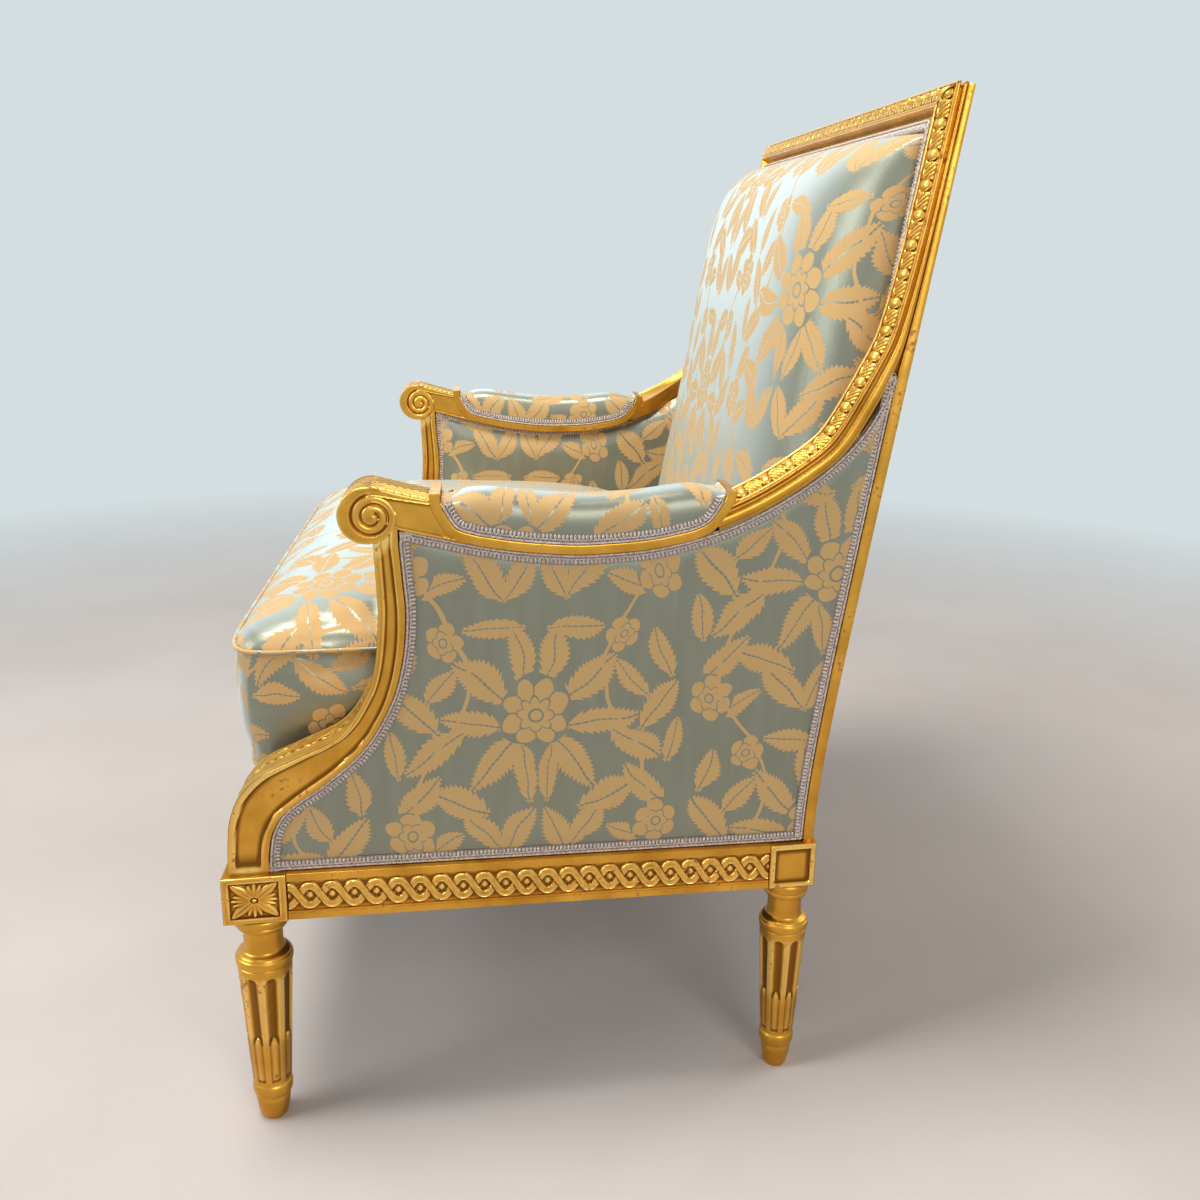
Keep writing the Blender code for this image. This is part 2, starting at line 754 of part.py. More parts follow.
def scroll_drum(half_inset, radius, count):
    """A short drum across the arm, for the scroll and for its eye."""
    near = -FRAME_SET + half_inset
    far = -FRAME_SET - ARM_WIDTH - half_inset
    rings = []
    for out in (near, far):
        ring = []
        for i in range(count):
            angle = 2 * math.pi * i / count
            y = SCROLL_Y + radius * math.cos(angle)
            z = SCROLL_Z + radius * math.sin(angle)
            ring.append(on_side(out, y, z))
        rings.append(ring)
    return loft(rings)


def arm_stations():
    """Stations along the arm: a point of its lower edge, and the direction square to it."""
    line = arm_line()
    stations = []
    for i, point in enumerate(line):
        before, after = line[max(i - 1, 0)], line[min(i + 1, len(line) - 1)]
        way = (after - before).normalized()
        stations.append((point, Vector((-way.y, way.x))))
    return stations


def arm_height(y):
    """Thickness of the arm over its visible lower edge, and whether the pad's rebate runs there."""
    if CLIP_FRONT_Y + CLIP_WIDTH / 2 <= y <= CLIP_BACK_Y - CLIP_WIDTH / 2:
        return ARM_EDGE + ARM_CORE, True
    near_clip = min(abs(y - CLIP_FRONT_Y), abs(y - CLIP_BACK_Y))
    rise = CLIP_RISE * max(0.0, 1.0 - near_clip / CLIP_WIDTH)
    if y < CLIP_FRONT_Y + CLIP_WIDTH:
        return ARM_THICK + rise, False
    return ARM_LIP + CARVED_CANT + rise, False


def station_at(y):
    """The station at a depth, between the drawn ones."""
    stations = arm_stations()
    for (a, up_a), (b, up_b) in zip(stations, stations[1:]):
        if a.x <= y <= b.x:
            share = (y - a.x) / (b.x - a.x)
            return a.lerp(b, share), up_a.lerp(up_b, share).normalized()
    return stations[0] if y < stations[0][0].x else stations[-1]


def pad_seat():
    """The stretch of the arm under its pad, and the stations that arm and pad share there."""
    front, back = CLIP_FRONT_Y + CLIP_WIDTH / 2, CLIP_BACK_Y - CLIP_WIDTH / 2
    return [mix(front, back, i / 8) for i in range(9)]


def pad_station(y):
    """Lower edge, up direction and width of the arm under its pad, straight between stations."""
    depths = pad_seat()
    span = max(i for i in range(8) if i == 0 or depths[i] <= y)
    share = (y - depths[span]) / (depths[span + 1] - depths[span])
    (a, up_a), (b, up_b) = station_at(depths[span]), station_at(depths[span + 1])
    return a.lerp(b, share), up_a.lerp(up_b, share), mix(arm_width(a.x), arm_width(b.x), share)


def arm_section(y, rebated=None):
    """The arm's section at a depth: a core between rebates under the pad, square elsewhere."""
    foot, up = station_at(y)
    height, cut = arm_height(y)
    if rebated is not None and rebated != cut:
        cut = rebated
        height = ARM_EDGE + ARM_CORE
        if not rebated:
            height = arm_height(CLIP_FRONT_Y if y < SCROLL_Y + LEG_SPAN / 2 else CLIP_BACK_Y)[0]
    width = arm_width(foot.x)
    step = ARM_REBATE if cut else 0.002
    shoulder = ARM_EDGE if cut else height - 0.004
    outline = [(0.0, -LEDGE), (0.0, shoulder), (-step, shoulder), (-step, height),
               (-width + step, height), (-width + step, shoulder), (-width, shoulder), (-width, -LEDGE)]
    if y > CLIP_BACK_Y + CLIP_WIDTH:
        low = ARM_LIP + CARVED_CANT - COVE_FALL
        outline[1:7] = [(0.0, ARM_LIP), (-CARVED_WIDTH / 2, ARM_LIP + CARVED_CANT / 2),
                        (-CARVED_WIDTH, ARM_LIP + CARVED_CANT), (-width + step, low), (-width, low - step),
                        (-width, low / 2)]
    ring = []
    for out, rise in outline:
        point = foot + up * rise
        ring.append(on_side(out - FRAME_SET, point.x, point.y))
    return ring


def stile_room():
    """What the stile takes from the arm's end: its own depth, and all above its shoulder."""
    far = 0.2
    below = []
    for z in heights_between(ARM_DIP_Z - SCROLL_RISE, arm_joint_z()):
        front = stile_depth(z) + GAP
        below.append([on_side(out, back_point(z, depth).x, back_point(z, depth).y) for out, depth in
                      ((far, -far), (far, front), (-far, front), (-far, -far))])
    above = []
    for z in (arm_joint_z() - STEP - GAP, HEIGHT):
        above.append([on_side(out, back_point(z, depth).x, back_point(z, depth).y) for out, depth in
                      ((far, -far), (far, far), (-far, far), (-far, -far))])
    return [loft(below), loft(above)]


def scroll_neck():
    """The short neck that joins the scroll to its support."""
    foot, head = SCROLL_Z - SCROLL_RADIUS - NECK_SINK, SCROLL_Z
    near, far = -FRAME_SET - NECK_SINK, -FRAME_SET - SUPPORT_WIDTH
    plan = [(near, NECK_FRONT), (near, NECK_BACK), (far, NECK_BACK), (far, NECK_FRONT)]
    return loft([[on_side(out, SUPPORT_HEAD_Y + y, z) for out, y in plan] for z in (foot, head)])


def arm_rails(gilt, parent):
    """The arm: scroll, pad seat between two clips, and the sweep up to the stile's shoulder."""
    front, back = pad_seat()[0], pad_seat()[-1]
    rings = [arm_section(y) for y in (SCROLL_Y + 0.010, (SCROLL_Y + CLIP_FRONT_Y) / 2,
                                      CLIP_FRONT_Y - CLIP_WIDTH, CLIP_FRONT_Y - CLIP_WIDTH / 4)]
    rings.append(arm_section(front - STEP, rebated=False))
    rings.append(arm_section(front, rebated=True))
    for y in pad_seat()[1:-1]:
        rings.append(arm_section(y))
    rings.append(arm_section(back, rebated=True))
    rings.append(arm_section(back + STEP, rebated=False))
    rings.append(arm_section(CLIP_BACK_Y + CLIP_WIDTH - STEP))
    sweep_end = arm_line()[-1].x
    for i in range(SWEEP_STEPS + 1):
        share = 1.0 - (1.0 - i / SWEEP_STEPS) ** 1.5
        rings.append(arm_section(mix(CLIP_BACK_Y + CLIP_WIDTH + STEP, sweep_end, share)))
    extras = [scroll_drum(NECK_SINK, SCROLL_RADIUS, 28), scroll_neck(), scroll_drum(0.003, EYE_RADIUS, 10),
              scroll_spiral(-FRAME_SET, 1.0), scroll_spiral(-FRAME_SET - ARM_WIDTH, -1.0)]
    arm = combined(loft(rings), extras, "UNION")
    arm = combined(arm, [*stile_room(), outer_cutter(), inner_cutter()], "DIFFERENCE")
    add_pair("arm_rail", arm, gilt, parent)


def arm_supports(gilt, parent):
    """The console support, swept back from the leg block to under the scroll."""
    front = support_edge(SUPPORT_EDGE_FRONT)
    back = support_edge(SUPPORT_EDGE_BACK)
    rings = []
    for i, (a, b) in enumerate(zip(front, back)):
        behind = (b - a).normalized() * LEDGE
        if i in (0, len(front) - 1):
            behind.y = 0.0
        b = b + behind
        inner = -FRAME_SET - SUPPORT_WIDTH
        rings.append([on_side(-FRAME_SET, a.x, a.y), on_side(-FRAME_SET, b.x, b.y),
                      on_side(inner, b.x, b.y), on_side(inner, a.x, a.y)])
    support = combined(loft(rings), [outer_cutter(), inner_cutter()], "DIFFERENCE")
    add_pair("arm_support", support, gilt, parent)


def crest_z():
    """Height of the back frame's top, measured at the stile's back edge."""
    return HEIGHT - (LIP_DEPTH + CARVED_CANT) * BACK_RAKE


def top_rail(gilt, parent):
    """The crest rail between the stiles, rebated like them."""
    top = crest_z()
    low = top - FRAME_FACE
    section = [(top, 0.0)] + [(top - width, depth) for width, depth in canted_front(LIP_DEPTH)]
    section += [(low, STILE_DEPTH - FRONT_REBATE), (low - TONGUE, STILE_DEPTH - FRONT_REBATE),
                (low - TONGUE, REAR_REBATE), (low, REAR_REBATE), (low, 0.0)]
    rings = []
    for side in (-1, 1):
        points = [back_point(z, depth) for z, depth in section]
        rings.append([(side * side_x(p.x, -FRAME_SET - FRAME_FACE - GAP), p.x, p.y) for p in points])
    add_piece("top_rail", loft(rings), gilt, parent)


def lower_back_rail(beech, parent):
    """The hidden rail at the foot of the back, which holds the back's webbing and pad."""
    heights = heights_between(LOWER_BACK_RAIL_Z, LOWER_BACK_RAIL_Z + LOWER_BACK_RAIL_HEIGHT)
    section = [back_point(z, REAR_REBATE) for z in heights]
    section += [back_point(z, pad_face_depth(z)) for z in reversed(heights)]
    rings = []
    for side in (-1, 1):
        rings.append([(side * side_x(p.x, -FRAME_SET - FRAME_FACE - TONGUE - GAP), p.x, p.y) for p in section])
    add_piece("lower_back_rail", loft(rings), beech, parent)


def side_battens(beech, parent):
    """Tacking rails above the seat rails, where the side covers are pulled through and nailed."""
    near = SUPPORT_EDGE_BACK[0][0] + LEDGE + BATTEN_START
    far = back_point(RAIL_TOP, STILE_FOOT_DEPTH + GAP).x - 0.001
    rings = []
    for y in (near, far):
        low, high = rail_top(y) + BATTEN_GAP, rail_top(y) + BATTEN_GAP + BATTEN_HEIGHT
        outs = (-(FRAME_SET + REBATE + GAP), inner_out(y) + GAP)
        rings.append([on_side(out, y, z) for out, z in
                      ((outs[0], low), (outs[1], low), (outs[1], high), (outs[0], high))])
    add_pair("side_batten", loft(rings), beech, parent)


# Covers, pads and trimming

def crown(u, v):
    """A rise that is nothing on the panel's border and full over most of it."""
    inside_u = max(0.0, min(u, 1.0 - u) - PANEL_COLUMNS[1])
    inside_v = max(0.0, min(v, 1.0 - v) - PANEL_ROWS[1])
    return ease(inside_u / 0.22) * ease(inside_v / 0.22)


def side_panel(edges, backing, rise, sign):
    """A padded cover: its backing lies on the frame's rebate and its face swells off its border."""
    shown = []
    for v, line in zip(PANEL_ROWS, patch(edges)):
        row = []
        for u, p in zip(PANEL_COLUMNS, line):
            row.append(on_side(backing(p.x) + sign * (COVER + rise * crown(u, v)), p.x, p.y))
        shown.append(row)
    rim = [on_side(backing(y), y, z) for _, y, z in rim_of(shown)]
    return shell_on(shown, rim)


def side_panels(fabric, parent):
    """Upholstered side panels in the rebates of the frame, outside and inside."""
    outer = side_panel(outer_panel_edges(), lambda y: -(FRAME_SET + REBATE) + GAP, OUTER_CROWN, 1.0)
    add_pair("side_panel_outer", outer, fabric, parent)
    inner = side_panel(inner_panel_edges(), inner_out, INNER_CROWN, -1.0)
    add_pair("side_panel_inner", inner, fabric, parent)


def gimp_strip(path, low, high):
    """A flat braid laid along a line, to the right of it."""
    outer = offset_line(path, GIMP_SET)
    inner = offset_line(path, GIMP_SET + GIMP_WIDTH)
    rings = []
    for a, b in zip(outer, inner):
        rings.append([on_side(low(a.x), a.x, a.y), on_side(high(a.x), a.x, a.y),
                      on_side(high(b.x), b.x, b.y), on_side(low(b.x), b.x, b.y)])
    return loft(rings)


def side_gimps(braid, parent):
    """Braid round the side panels: down the stile, along the rail, up the support, under the arm."""
    bottom, top, front, back = outer_panel_edges()
    path = [p for p in back if top[-1].y - p.y > 0.045][::-1]
    path += bottom[-2::-1] + front[1:] + [p for p in top[1:] if p.x < top[-1].x - 0.045]
    face = -(FRAME_SET + REBATE) + 2 * GAP + COVER
    strip = gimp_strip(path, lambda y: face, lambda y: face + GIMP_THICK)
    add_pair("side_gimp_outer", strip, braid, parent)

    bottom, top, front, back = inner_panel_edges()
    path = front[1:] + top[1:]
    face = COVER + GAP
    strip = gimp_strip(path, lambda y: inner_out(y) - face, lambda y: inner_out(y) - face - GIMP_THICK)
    add_pair("side_gimp_inner", strip, braid, parent)


def arm_pads(fabric, braid, parent):
    """The stuffed arm pad, which sits over the arm's core, and the braid along its edges."""
    front = pad_seat()[0] + 2 * GAP
    back = pad_seat()[-1] - 2 * GAP
    length = back - front
    depths = sorted(pad_seat()[1:-1] + [mix(front, back, share) for share in (0, 0.02, 0.06, 0.94, 0.98, 1)])
    edge = ARM_EDGE + GAP
    core = ARM_REBATE - GAP
    over = ARM_EDGE + ARM_CORE + GAP
    rings = []
    for y in depths:
        foot, up, width = pad_station(y)
        end = min(y - front, back - y)
        top = mix(over + 0.004, ARM_PAD_TOP, math.sqrt(min(1.0, 0.2 + end / ARM_PAD_END)))
        half_outline = [(core, over), (core, edge), (GIMP_SET, edge)]
        half_outline += [(inset, mix(edge, top, share)) for inset, share in ARM_PAD_SIDE]
        outline = [(-inset, rise) for inset, rise in half_outline] + [(-width / 2, top)]
        outline += [(inset - width, rise) for inset, rise in reversed(half_outline)]
        points = [(out, foot + up * rise) for out, rise in outline]
        rings.append([on_side(out - FRAME_SET, p.x, p.y) for out, p in points])
    add_pair("arm_pad", loft(rings), fabric, parent)

    for name, sign in (("arm_gimp_outer", 1.0), ("arm_gimp_inner", -1.0)):
        rings = []
        for y in depths[1:-1]:
            foot, up, width = pad_station(y)
            face = -FRAME_SET if sign > 0 else -FRAME_SET - width
            ring = []
            for lift, rise in ((GAP, GIMP_SET), (GAP + GIMP_THICK, GIMP_SET), (GAP + GIMP_THICK, GIMP_WIDTH),
                               (GAP, GIMP_WIDTH)):
                point = foot + up * (ARM_EDGE + rise)
                ring.append(on_side(face + sign * lift, point.x, point.y))
            rings.append(ring)
        add_pair(name, loft(rings), braid, parent)


def frame_half(z, depth):
    """Half the clear width between the stiles' faces at a point of the back."""
    return side_x(back_point(z, depth).x, -FRAME_SET - FRAME_FACE - GAP)


def back_pad(fabric, parent):
    """The strongly crowned back pad: a flat border for the braid, then full over most of its face."""
    spans = 16
    swell = [-math.cos(math.pi * i / spans) for i in range(spans + 1)]
    top = crest_z() - FRAME_FACE - GAP
    middle = (top + BACK_PAD_FOOT_Z) / 2
    half_height = (top - BACK_PAD_FOOT_Z) / 2
    inside_v = 1.0 - BACK_PAD_BORDER / half_height
    grid = []
    rim_rows = []
    for v, w in [(-1.0, -1.0)] + [(s * inside_v, s) for s in swell] + [(1.0, 1.0)]:
        z = middle + v * half_height
        base = pad_face_depth(z) + GAP
        half = frame_half(z, base)
        inside_u = 1.0 - BACK_PAD_BORDER / half
        foot = back_point(z, base)
        row = []
        rim_row = []
        for u, t in [(-1.0, -1.0)] + [(s * inside_u, s) for s in swell] + [(1.0, 1.0)]:
            full = math.sqrt((1.0 - abs(t) ** BACK_PAD_SQUARE[0]) * (1.0 - abs(w) ** BACK_PAD_SQUARE[1]))
            point = back_point(z, base + FRONT_REBATE + BACK_PAD_RISE * full)
            row.append((u * half, point.x, point.y))
            rim_row.append((u * half, foot.x, foot.y))
        grid.append(row)
        rim_rows.append(rim_row)
    add_piece("back_pad", two_sided(grid, rim_rows), fabric, parent)


def two_sided(front, back):
    """A closed body between two grids of the same size."""
    rows, columns = len(front), len(front[0])
    count = rows * columns
    verts = [p for row in front for p in row] + [p for row in back for p in row]
    faces = []
    for i in range(rows - 1):
        for j in range(columns - 1):
            a = i * columns + j
            faces.append((a, a + 1, a + columns + 1, a + columns))
            faces.append((count + a, count + a + columns, count + a + columns + 1, count + a + 1))
    edge = rim_indices(rows, columns)
    for n, start in enumerate(edge):
        end = edge[(n + 1) % len(edge)]
        faces.append((start, count + start, count + end, end))
    return body_from(verts, faces)


def back_covers(fabric, braid, parent):
    """The flat outside back, and the braid inside the frame on both faces."""
    top = crest_z() - FRAME_FACE - GAP
    foot = rail_top(LEG_SPAN) + GAP
    sheet = [REAR_REBATE - GAP, REAR_REBATE - GAP - OUTSIDE_BACK_THICK]
    rings = []
    for z in heights_between(foot, top):
        ring = []
        for depth, side in ((sheet[0], -1), (sheet[0], 1), (sheet[1], 1), (sheet[1], -1)):
            point = back_point(z, depth)
            ring.append((side * frame_half(z, depth), point.x, point.y))
        rings.append(ring)
    add_piece("outside_back", loft(rings), fabric, parent)

    low = sheet[1] - GAP
    strip = frame_braid(foot, top, lambda z: low, lambda z: low - GIMP_THICK)
    add_piece("outside_back_gimp", strip, braid, parent)
    strip = frame_braid(BACK_PAD_FOOT_Z, top, lambda z: stile_depth(z) + 2 * GAP,
                        lambda z: stile_depth(z) + 2 * GAP + GIMP_THICK)
    add_piece("back_gimp", strip, braid, parent)


def frame_braid(foot, top, low, high):
    """A braid that runs up one stile, under the top rail and down the other."""
    heights = heights_between(foot, top - 0.0006)
    rise = [Vector((frame_half(z, low(z)) - 0.0006, z)) for z in heights]
    path = rise + [Vector((-p.x, p.y)) for p in reversed(rise)]
    rings = []
    for a, b in zip(path, offset_line(path, -GIMP_WIDTH)):
        ring = []
        for point, depth in ((a, low), (a, high), (b, high), (b, low)):
            place = back_point(point.y, depth(point.y))
            ring.append((point.x, place.x, place.y))
        rings.append(ring)
    return loft(rings)


def seat_platform(fabric, parent):
    """The stuffed platform under the cushion, covered in the chair's own fabric."""
    low = 2 * WEB_THICK + GAP
    back_y = back_point(RAIL_TOP, STILE_FOOT_DEPTH + PLATFORM_BACK_GAP).x
    rings = []
    for inset, share in ((0.0, 0.0), (0.0, 0.86), (0.008, 0.97), (0.016, 1.0)):
        ring = []
        for side, y in ((-1, -PLATFORM_FRONT + inset), (1, -PLATFORM_FRONT + inset), (1, back_y - inset),
                        (-1, back_y - inset)):
            z = mix(rail_top(y) + low, PLATFORM_TOP, share)
            ring.append((side * (side_x(y, -CUSHION_SIDE) - inset), y, z))
        rings.append(ring)
    add_piece("seat_platform", loft(rings), fabric, parent)


def cushion_back():
    """Depth of the cushion's back, just clear of the back pad's fullest part."""
    pad = back_point(CUSHION_SEAM_Z, stile_depth(CUSHION_SEAM_Z) + BACK_PAD_RISE)
    return pad.x - CUSHION_BACK_GAP


def cushion_half(y):
    """Half the cushion's width, which narrows with the chair."""
    front = side_x(-CUSHION_FRONT, -CUSHION_SIDE)
    back = side_x(cushion_back(), -CUSHION_BACK_SIDE)
    return mix(front, back, (y + CUSHION_FRONT) / (cushion_back() + CUSHION_FRONT))


def cushion_rim(count):
    """Points round the cushion's plan, with rounded corners: share of the half width, and depth."""
    rim = []
    half_depth = (cushion_back() + CUSHION_FRONT) / 2
    middle = (cushion_back() - CUSHION_FRONT) / 2
    for i in range(count):
        angle = 2 * math.pi * (i + 0.5) / count
        c, s = math.cos(angle), math.sin(angle)
        power = 2.0 / CUSHION_CORNER
        u = math.copysign(abs(c) ** power, c)
        w = math.copysign(abs(s) ** power, s)
        rim.append((u, middle + w * half_depth))
    return rim


def seat_cushion(fabric, parent):
    """A box cushion: crowned top, piped seams and sides that pull in between the corners."""
    rim = cushion_rim(56)
    middle_y = (cushion_back() - CUSHION_FRONT) / 2
    half_depth = (cushion_back() + CUSHION_FRONT) / 2
    bottom = PLATFORM_TOP + GAP
    seam = CUSHION_SEAM_Z
    rings = []
    walls = [(0.86, bottom, 0.0), (0.972, bottom + 0.002, 0.0), (0.985, bottom + 0.007, 0.2),
             (0.994, mix(bottom, seam, 0.30), 0.85), (0.996, mix(bottom, seam, 0.60), 1.0),
             (0.988, seam - PIPING, 0.30), (0.992, seam, 0.25), (0.984, seam + PIPING, 0.2),
             (0.93, seam, 0.0), (0.80, seam, 0.0), (0.60, seam, 0.0), (0.36, seam, 0.0),
             (0.12, seam, 0.0)]
    for size, z, bulge in walls:
        ring = []
        for u, y in rim:
            w = (y - middle_y) / half_depth
            puff = bulge * CUSHION_BULGE * (1.0 - abs(u) ** 4) * (1.0 if w < 0 else 0.4)
            x = u * cushion_half(y) * size
            place_y = middle_y + (y - middle_y) * size
            if abs(w) > 0.5:
                place_y += math.copysign(puff, w)
            lift = 0.0
            if size < 0.95 and z >= seam:
                across, along = abs(u * size) ** CUSHION_SQUARE, abs(w * size) ** CUSHION_SQUARE
                lift = CUSHION_CROWN * math.sqrt((1.0 - across) * (1.0 - along))
            ring.append((x, place_y, z + lift))
        rings.append(ring)
    cushion = loft(rings)
    lift_point = bpy.data.objects.new("cushion_lift", None)
    bpy.context.scene.collection.objects.link(lift_point)
    lift_point.parent = parent
    place = Vector((0.0, middle_y, bottom))
    lift_point.location = place
    bmesh.ops.translate(cushion, verts=cushion.verts, vec=-place)
    add_piece("seat_cushion", cushion, fabric, lift_point)


def seat_webbing(jute, parent):
    """Webs nailed across the seat rails, crossed by webs from front to back."""
    webs = []
    first, last = FRONT_BLOCK + WEB_WIDTH / 2, LEG_SPAN - REAR_BLOCK - WEB_WIDTH
    for i in range(WEB_ROWS):
        y = mix(first, last, i / (WEB_ROWS - 1))
        rings = []
        for side in (-1, 1):
            ring = []
            for edge, lift in ((-0.5, 0.0), (0.5, 0.0), (0.5, WEB_THICK), (-0.5, WEB_THICK)):
                depth = y + edge * WEB_WIDTH
                ring.append((side * side_x(depth, -RAIL_THICK / 2), depth, rail_top(depth) + GAP + lift))
            rings.append(ring)
        webs.append(loft(rings))
    near = -FRONT_BLOCK / 2 + RAIL_THICK / 2
    far = LEG_SPAN + REAR_BLOCK / 2 - BACK_RAIL_THICK / 2
    reach = side_x(LEG_SPAN, -REAR_BLOCK) - WEB_WIDTH
    for i in range(WEB_COLUMNS):
        x = mix(-reach, reach, i / (WEB_COLUMNS - 1))
        rings = []
        for y in (near, far):
            low = rail_top(y) + GAP + WEB_THICK / 2
            rings.append([(x + WEB_WIDTH * edge, y, low + lift) for edge, lift in
                          ((-0.5, 0.0), (0.5, 0.0), (0.5, WEB_THICK), (-0.5, WEB_THICK))])
        webs.append(loft(rings))
    add_piece("seat_webbing", combined(webs[0], webs[1:], "UNION"), jute, parent)


def back_webbing(jute, parent):
    """Upright and cross webs that carry the back pad, held inside the back frame."""
    low = LOWER_BACK_RAIL_Z + LOWER_BACK_RAIL_HEIGHT + GAP
    top = crest_z() - FRAME_FACE - TONGUE - GAP
    webs = []
    for i in range(5):
        share = mix(-0.8, 0.8, i / 4)
        rings = []
        for z in heights_between(low, top):
            rings.append([(share * frame_half(top, 0.0) + edge * WEB_WIDTH, *back_point(z, pad_face_depth(z) - lift))
                          for edge, lift in ((-0.5, 0.0), (0.5, 0.0), (0.5, WEB_THICK), (-0.5, WEB_THICK))])
        webs.append(loft(rings))
    for i in range(4):
        middle = mix(low + WEB_WIDTH, top - WEB_WIDTH, i / 3)
        rings = []
        for side in (-1, 1):
            ring = []
            for edge, lift in ((-0.5, 0.5), (0.5, 0.5), (0.5, 1.5), (-0.5, 1.5)):
                z = middle + edge * WEB_WIDTH
                point = back_point(z, pad_face_depth(z) - lift * WEB_THICK)
                ring.append((side * (frame_half(z, 0.0) - TONGUE), point.x, point.y))
            rings.append(ring)
        webs.append(loft(rings))
    add_piece("back_webbing", combined(webs[0], webs[1:], "UNION"), jute, parent)


def dust_cover(hessian, parent):
    """The cloth nailed under the seat rails."""
    rings = []
    for lift in (0.0, -DUST_COVER):
        ring = []
        near, far = FRONT_BLOCK / 2 + DUST_COVER_SET, LEG_SPAN - REAR_BLOCK / 2 - DUST_COVER_SET
        for side, y in ((-1, near), (1, near), (1, far), (-1, far)):
            ring.append((side * side_x(y, -RAIL_THICK / 2), y, rail_bottom(y) - GAP + lift))
        rings.append(ring)
    add_piece("dust_cover", loft(rings), hessian, parent)


def build():
    clear_scene()
    gilt = make_material("gilded_wood", (0.72, 0.46, 0.10), 0.38, 0.85)
    beech = make_material("beech", (0.62, 0.45, 0.28), 0.65, 0.0)
    fabric = make_material("lampas", (0.42, 0.47, 0.38), 0.45, 0.0)
    braid = make_material("gimp", (0.60, 0.55, 0.52), 0.80, 0.0)
    jute = make_material("jute", (0.55, 0.43, 0.28), 0.90, 0.0)
    hessian = make_material("hessian", (0.10, 0.10, 0.10), 0.90, 0.0)

    back_top_y = back_point(crest_z(), 0.0).x
    middle_y = (back_top_y - FRONT_BLOCK / 2) / 2
    chair = bpy.data.objects.new("chair", None)
    bpy.context.scene.collection.objects.link(chair)
    chair.location = (0.0, -middle_y, 0.0)

    front_legs(gilt, chair)
    rear_legs(gilt, chair)
    side_rails(gilt, chair)
    front_rail(gilt, chair)
    back_rail(gilt, chair)
    corner_braces(beech, chair)
    arm_supports(gilt, chair)
    arm_rails(gilt, chair)
    top_rail(gilt, chair)
    lower_back_rail(beech, chair)
    side_battens(beech, chair)
    side_panels(fabric, chair)
    side_gimps(braid, chair)
    arm_pads(fabric, braid, chair)
    back_pad(fabric, chair)
    back_covers(fabric, braid, chair)
    seat_platform(fabric, chair)
    seat_cushion(fabric, chair)
    seat_webbing(jute, chair)
    back_webbing(jute, chair)
    dust_cover(hessian, chair)


build()
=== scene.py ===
import math

import bpy
import numpy as np
from mathutils import Matrix, Vector


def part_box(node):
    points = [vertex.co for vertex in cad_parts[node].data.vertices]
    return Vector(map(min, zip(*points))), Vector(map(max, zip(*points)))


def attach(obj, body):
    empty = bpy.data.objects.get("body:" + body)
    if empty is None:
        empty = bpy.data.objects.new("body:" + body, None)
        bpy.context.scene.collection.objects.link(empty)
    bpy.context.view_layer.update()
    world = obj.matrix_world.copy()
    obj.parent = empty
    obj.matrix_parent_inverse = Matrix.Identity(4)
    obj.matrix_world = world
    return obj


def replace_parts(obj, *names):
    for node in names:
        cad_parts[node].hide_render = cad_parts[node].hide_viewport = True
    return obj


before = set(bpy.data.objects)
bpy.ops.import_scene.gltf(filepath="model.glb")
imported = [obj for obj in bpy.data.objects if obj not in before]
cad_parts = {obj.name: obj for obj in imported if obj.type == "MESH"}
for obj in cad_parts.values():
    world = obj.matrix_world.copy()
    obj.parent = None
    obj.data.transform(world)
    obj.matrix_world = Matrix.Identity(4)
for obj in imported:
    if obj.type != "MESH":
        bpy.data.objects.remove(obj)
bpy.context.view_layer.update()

# The chair's own sizes in metres, drawn from the front legs' axis
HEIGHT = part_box("rear_leg_left")[1].z
FRONT_BLOCK = 0.061
REAR_BLOCK = 0.050
MIDDLE = -FRONT_BLOCK / 2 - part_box("front_leg_left")[0].y
FRONT_WIDTH = 0.914
LEG_SPAN = 0.545
SIDE_TAPER = 0.100
RAIL_TOP = 0.2904
RAIL_HEIGHT = 0.050
RAIL_THICK = 0.038
RAIL_SET = 0.002
RAIL_BAND = 0.009
RAIL_BEAD = 0.010
SEAT_FALL = 0.009
BACK_RAKE = 0.1555
RAKE_EASE = 0.090
STILE_START = 0.0225
STILE_DEPTH = 0.024
STILE_FOOT_DEPTH = 0.036
FRAME_SET = 0.006
FRAME_FACE = 0.030
FRONT_REBATE = 0.008
REAR_REBATE = 0.009
BAND = 0.011
LIP_DEPTH = 0.0165
LIP_SWEEP = 0.015
LIP_EASE = 0.055
CARVED_CANT = 0.0105
ARM_WIDTH = 0.058
ARM_END_WIDTH = 0.030
ARM_DIP_Z = 0.600
ARM_LIP = 0.0195
SCROLL_Y = 0.119
SCROLL_Z = 0.642
SCROLL_RADIUS = 0.0265
CLIP_FRONT_Y = 0.180
CLIP_BACK_Y = 0.461
SUPPORT_WIDTH = 0.054
SUPPORT_HEAD_Y = 0.135
REBATE = 0.009
GIMP_WIDTH = 0.010
ARM_PAD_TOP = 0.053
BACK_PAD_RISE = 0.093
BACK_PAD_FOOT_Z = 0.366
PLATFORM_TOP = 0.3615
CUSHION_FRONT = 0.024
CUSHION_BACK_GAP = 0.009
CUSHION_SIDE = 0.072
CUSHION_BACK_SIDE = 0.070
CUSHION_SEAM_Z = 0.503
CUSHION_CROWN = 0.038
MM = 0.001
GAP = 0.3 * MM
CLOTH_ZERO_Z = 0.30
GUILLOCHE_PITCH = 20.9
ARM_LINE = [(0.0, 0.028), (0.18, 0.0085), (0.31, 0.0008), (0.40, 0.0), (0.52, 0.0045), (0.65, 0.020),
            (0.76, 0.044), (0.86, 0.075), (0.94, 0.114), (1.0, 0.1676)]
